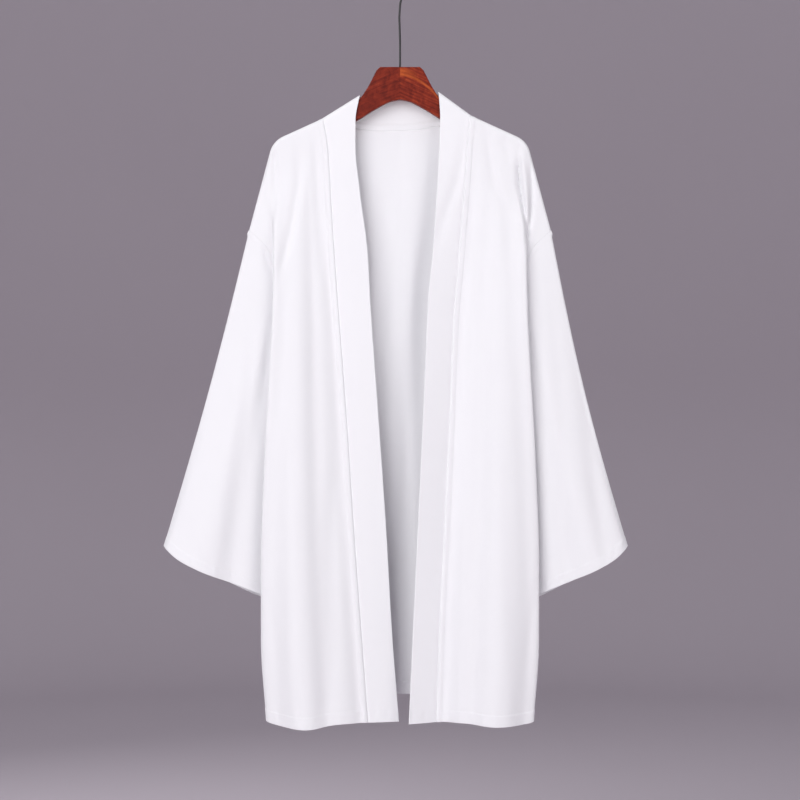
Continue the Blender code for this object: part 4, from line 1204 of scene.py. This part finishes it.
def make_wire(paint):
    """The hook as a round tube whose free end is rounded off."""
    line = np.array(rounded_line(hook_path(), 3))
    heading = np.gradient(line, axis=0)
    heading /= np.linalg.norm(heading, axis=1, keepdims=True)
    radii = np.full(len(line), WIRE_RADIUS)
    turns = np.linspace(0, math.pi / 2, 6)[1:-1]
    cap = [(WIRE_RADIUS * math.sin(k), WIRE_RADIUS * math.cos(k)) for k in turns]
    line = np.concatenate([line, [line[-1] + heading[-1] * ahead for ahead, _ in cap]])
    radii = np.concatenate([radii, [radius for _, radius in cap]])
    heading = np.concatenate([heading, np.repeat(heading[-1:], len(cap), axis=0)])
    around = np.linspace(0, 2 * math.pi, WIRE_SIDES, endpoint=False)
    mesh = bpy.data.meshes.new("hook_wire")
    bm = bmesh.new()
    rings = []
    for (x, z), (across, up), radius in zip(line, heading, radii):
        ring = []
        for turn in around:
            side, depth = radius * math.cos(turn), radius * math.sin(turn)
            ring.append(bm.verts.new(((x - up * side) * MM, depth * MM, (z + across * side) * MM)))
        rings.append(ring)
    for low, high in zip(rings, rings[1:]):
        for k in range(WIRE_SIDES):
            after = (k + 1) % WIRE_SIDES
            bm.faces.new((low[k], low[after], high[after], high[k]))
    bm.faces.new(rings[0])
    tip = line[-1] + heading[-1] * (WIRE_RADIUS - cap[-1][0])
    end = bm.verts.new((tip[0] * MM, 0.0, tip[1] * MM))
    for k in range(WIRE_SIDES):
        bm.faces.new((rings[-1][k], rings[-1][(k + 1) % WIRE_SIDES], end))
    into_mesh(bm, mesh)
    mesh.shade_smooth()
    mesh.materials.append(paint)
    return add_object("hook_wire", mesh)


def make_surround(finish):
    """A round floor that curves up into a wall, wide enough to lie behind the camera from every side."""
    profile = [(0.0, FLOOR_Z), (SURROUND_RADIUS - SURROUND_CURVE, FLOOR_Z)]
    for turn in np.linspace(0, math.pi / 2, 12)[1:]:
        out = SURROUND_RADIUS - SURROUND_CURVE + SURROUND_CURVE * math.sin(turn)
        profile.append((out, FLOOR_Z + SURROUND_CURVE * (1 - math.cos(turn))))
    profile.append((SURROUND_RADIUS, SURROUND_TOP))
    mesh = bpy.data.meshes.new("surround")
    bm = bmesh.new()
    centre = bm.verts.new((0.0, 0.0, FLOOR_Z))
    rings = []
    turns = np.linspace(0, 2 * math.pi, SURROUND_SIDES, endpoint=False)
    for out, z in profile[1:]:
        rings.append([bm.verts.new((out * math.cos(t), out * math.sin(t), z)) for t in turns])
    for k in range(SURROUND_SIDES):
        after = (k + 1) % SURROUND_SIDES
        bm.faces.new((centre, rings[0][k], rings[0][after]))
        for low, high in zip(rings, rings[1:]):
            bm.faces.new((low[k], high[k], high[after], low[after]))
    bm.to_mesh(mesh)
    bm.free()
    mesh.shade_smooth()
    mesh.materials.append(finish)
    surround = add_object("surround", mesh)


def make_camera():
    data = bpy.data.cameras.new("camera")
    data.sensor_width = SENSOR_WIDTH
    data.lens = SENSOR_WIDTH * CAMERA_DISTANCE / FRAME_WIDTH
    camera = add_object("camera", data)
    camera.location = (0.0, -CAMERA_DISTANCE, CAMERA_HEIGHT)
    camera.rotation_euler = (math.pi / 2, 0.0, 0.0)
    bpy.context.scene.camera = camera


def make_lights():
    """Soft daylight from the upper left in front, a weaker fill, a soft light behind and an even sky."""
    aim = Vector(LIGHTS_AIM)
    for name, place, size, power, colour in LIGHTS:
        data = bpy.data.lights.new(name, "AREA")
        data.shape = "SQUARE"
        data.size = size
        data.energy = power
        data.color = colour
        light = add_object(name, data)
        light.location = place
        light.rotation_euler = (aim - Vector(place)).to_track_quat("-Z", "Y").to_euler()
        light.visible_camera = False
    world = bpy.data.worlds.new("studio")
    world.use_nodes = True
    sky = world.node_tree.nodes["Background"]
    sky.inputs["Color"].default_value = (*SKY_COLOUR, 1.0)
    sky.inputs["Strength"].default_value = SKY_STRENGTH
    bpy.context.scene.world = world
    bpy.context.scene.view_settings.view_transform = "Standard"


make_camera()
make_lights()
make_surround(floor_finish())

white_crepe = cloth_finish("white_crepe", CREPE_LIGHT, CREPE_THROUGH)
band_crepe = cloth_finish("white_band_crepe", BAND_LIGHT, BAND_THROUGH)
cloth_pieces, stitch_rows = make_jacket(white_crepe, band_crepe)
for node, piece in cloth_pieces.items():
    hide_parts(node)
    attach(piece, "root")
    "band_cloth" if "band" in node else "cloth"

stitches = make_stitches(stitch_rows, thread_finish())
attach(stitches, "root")

wooden_bar = make_wood(wood_finish())
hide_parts("hanger")
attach(wooden_bar, "root")

hook_wire = make_wire(wire_finish())
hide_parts("hook")
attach(hook_wire, "root")
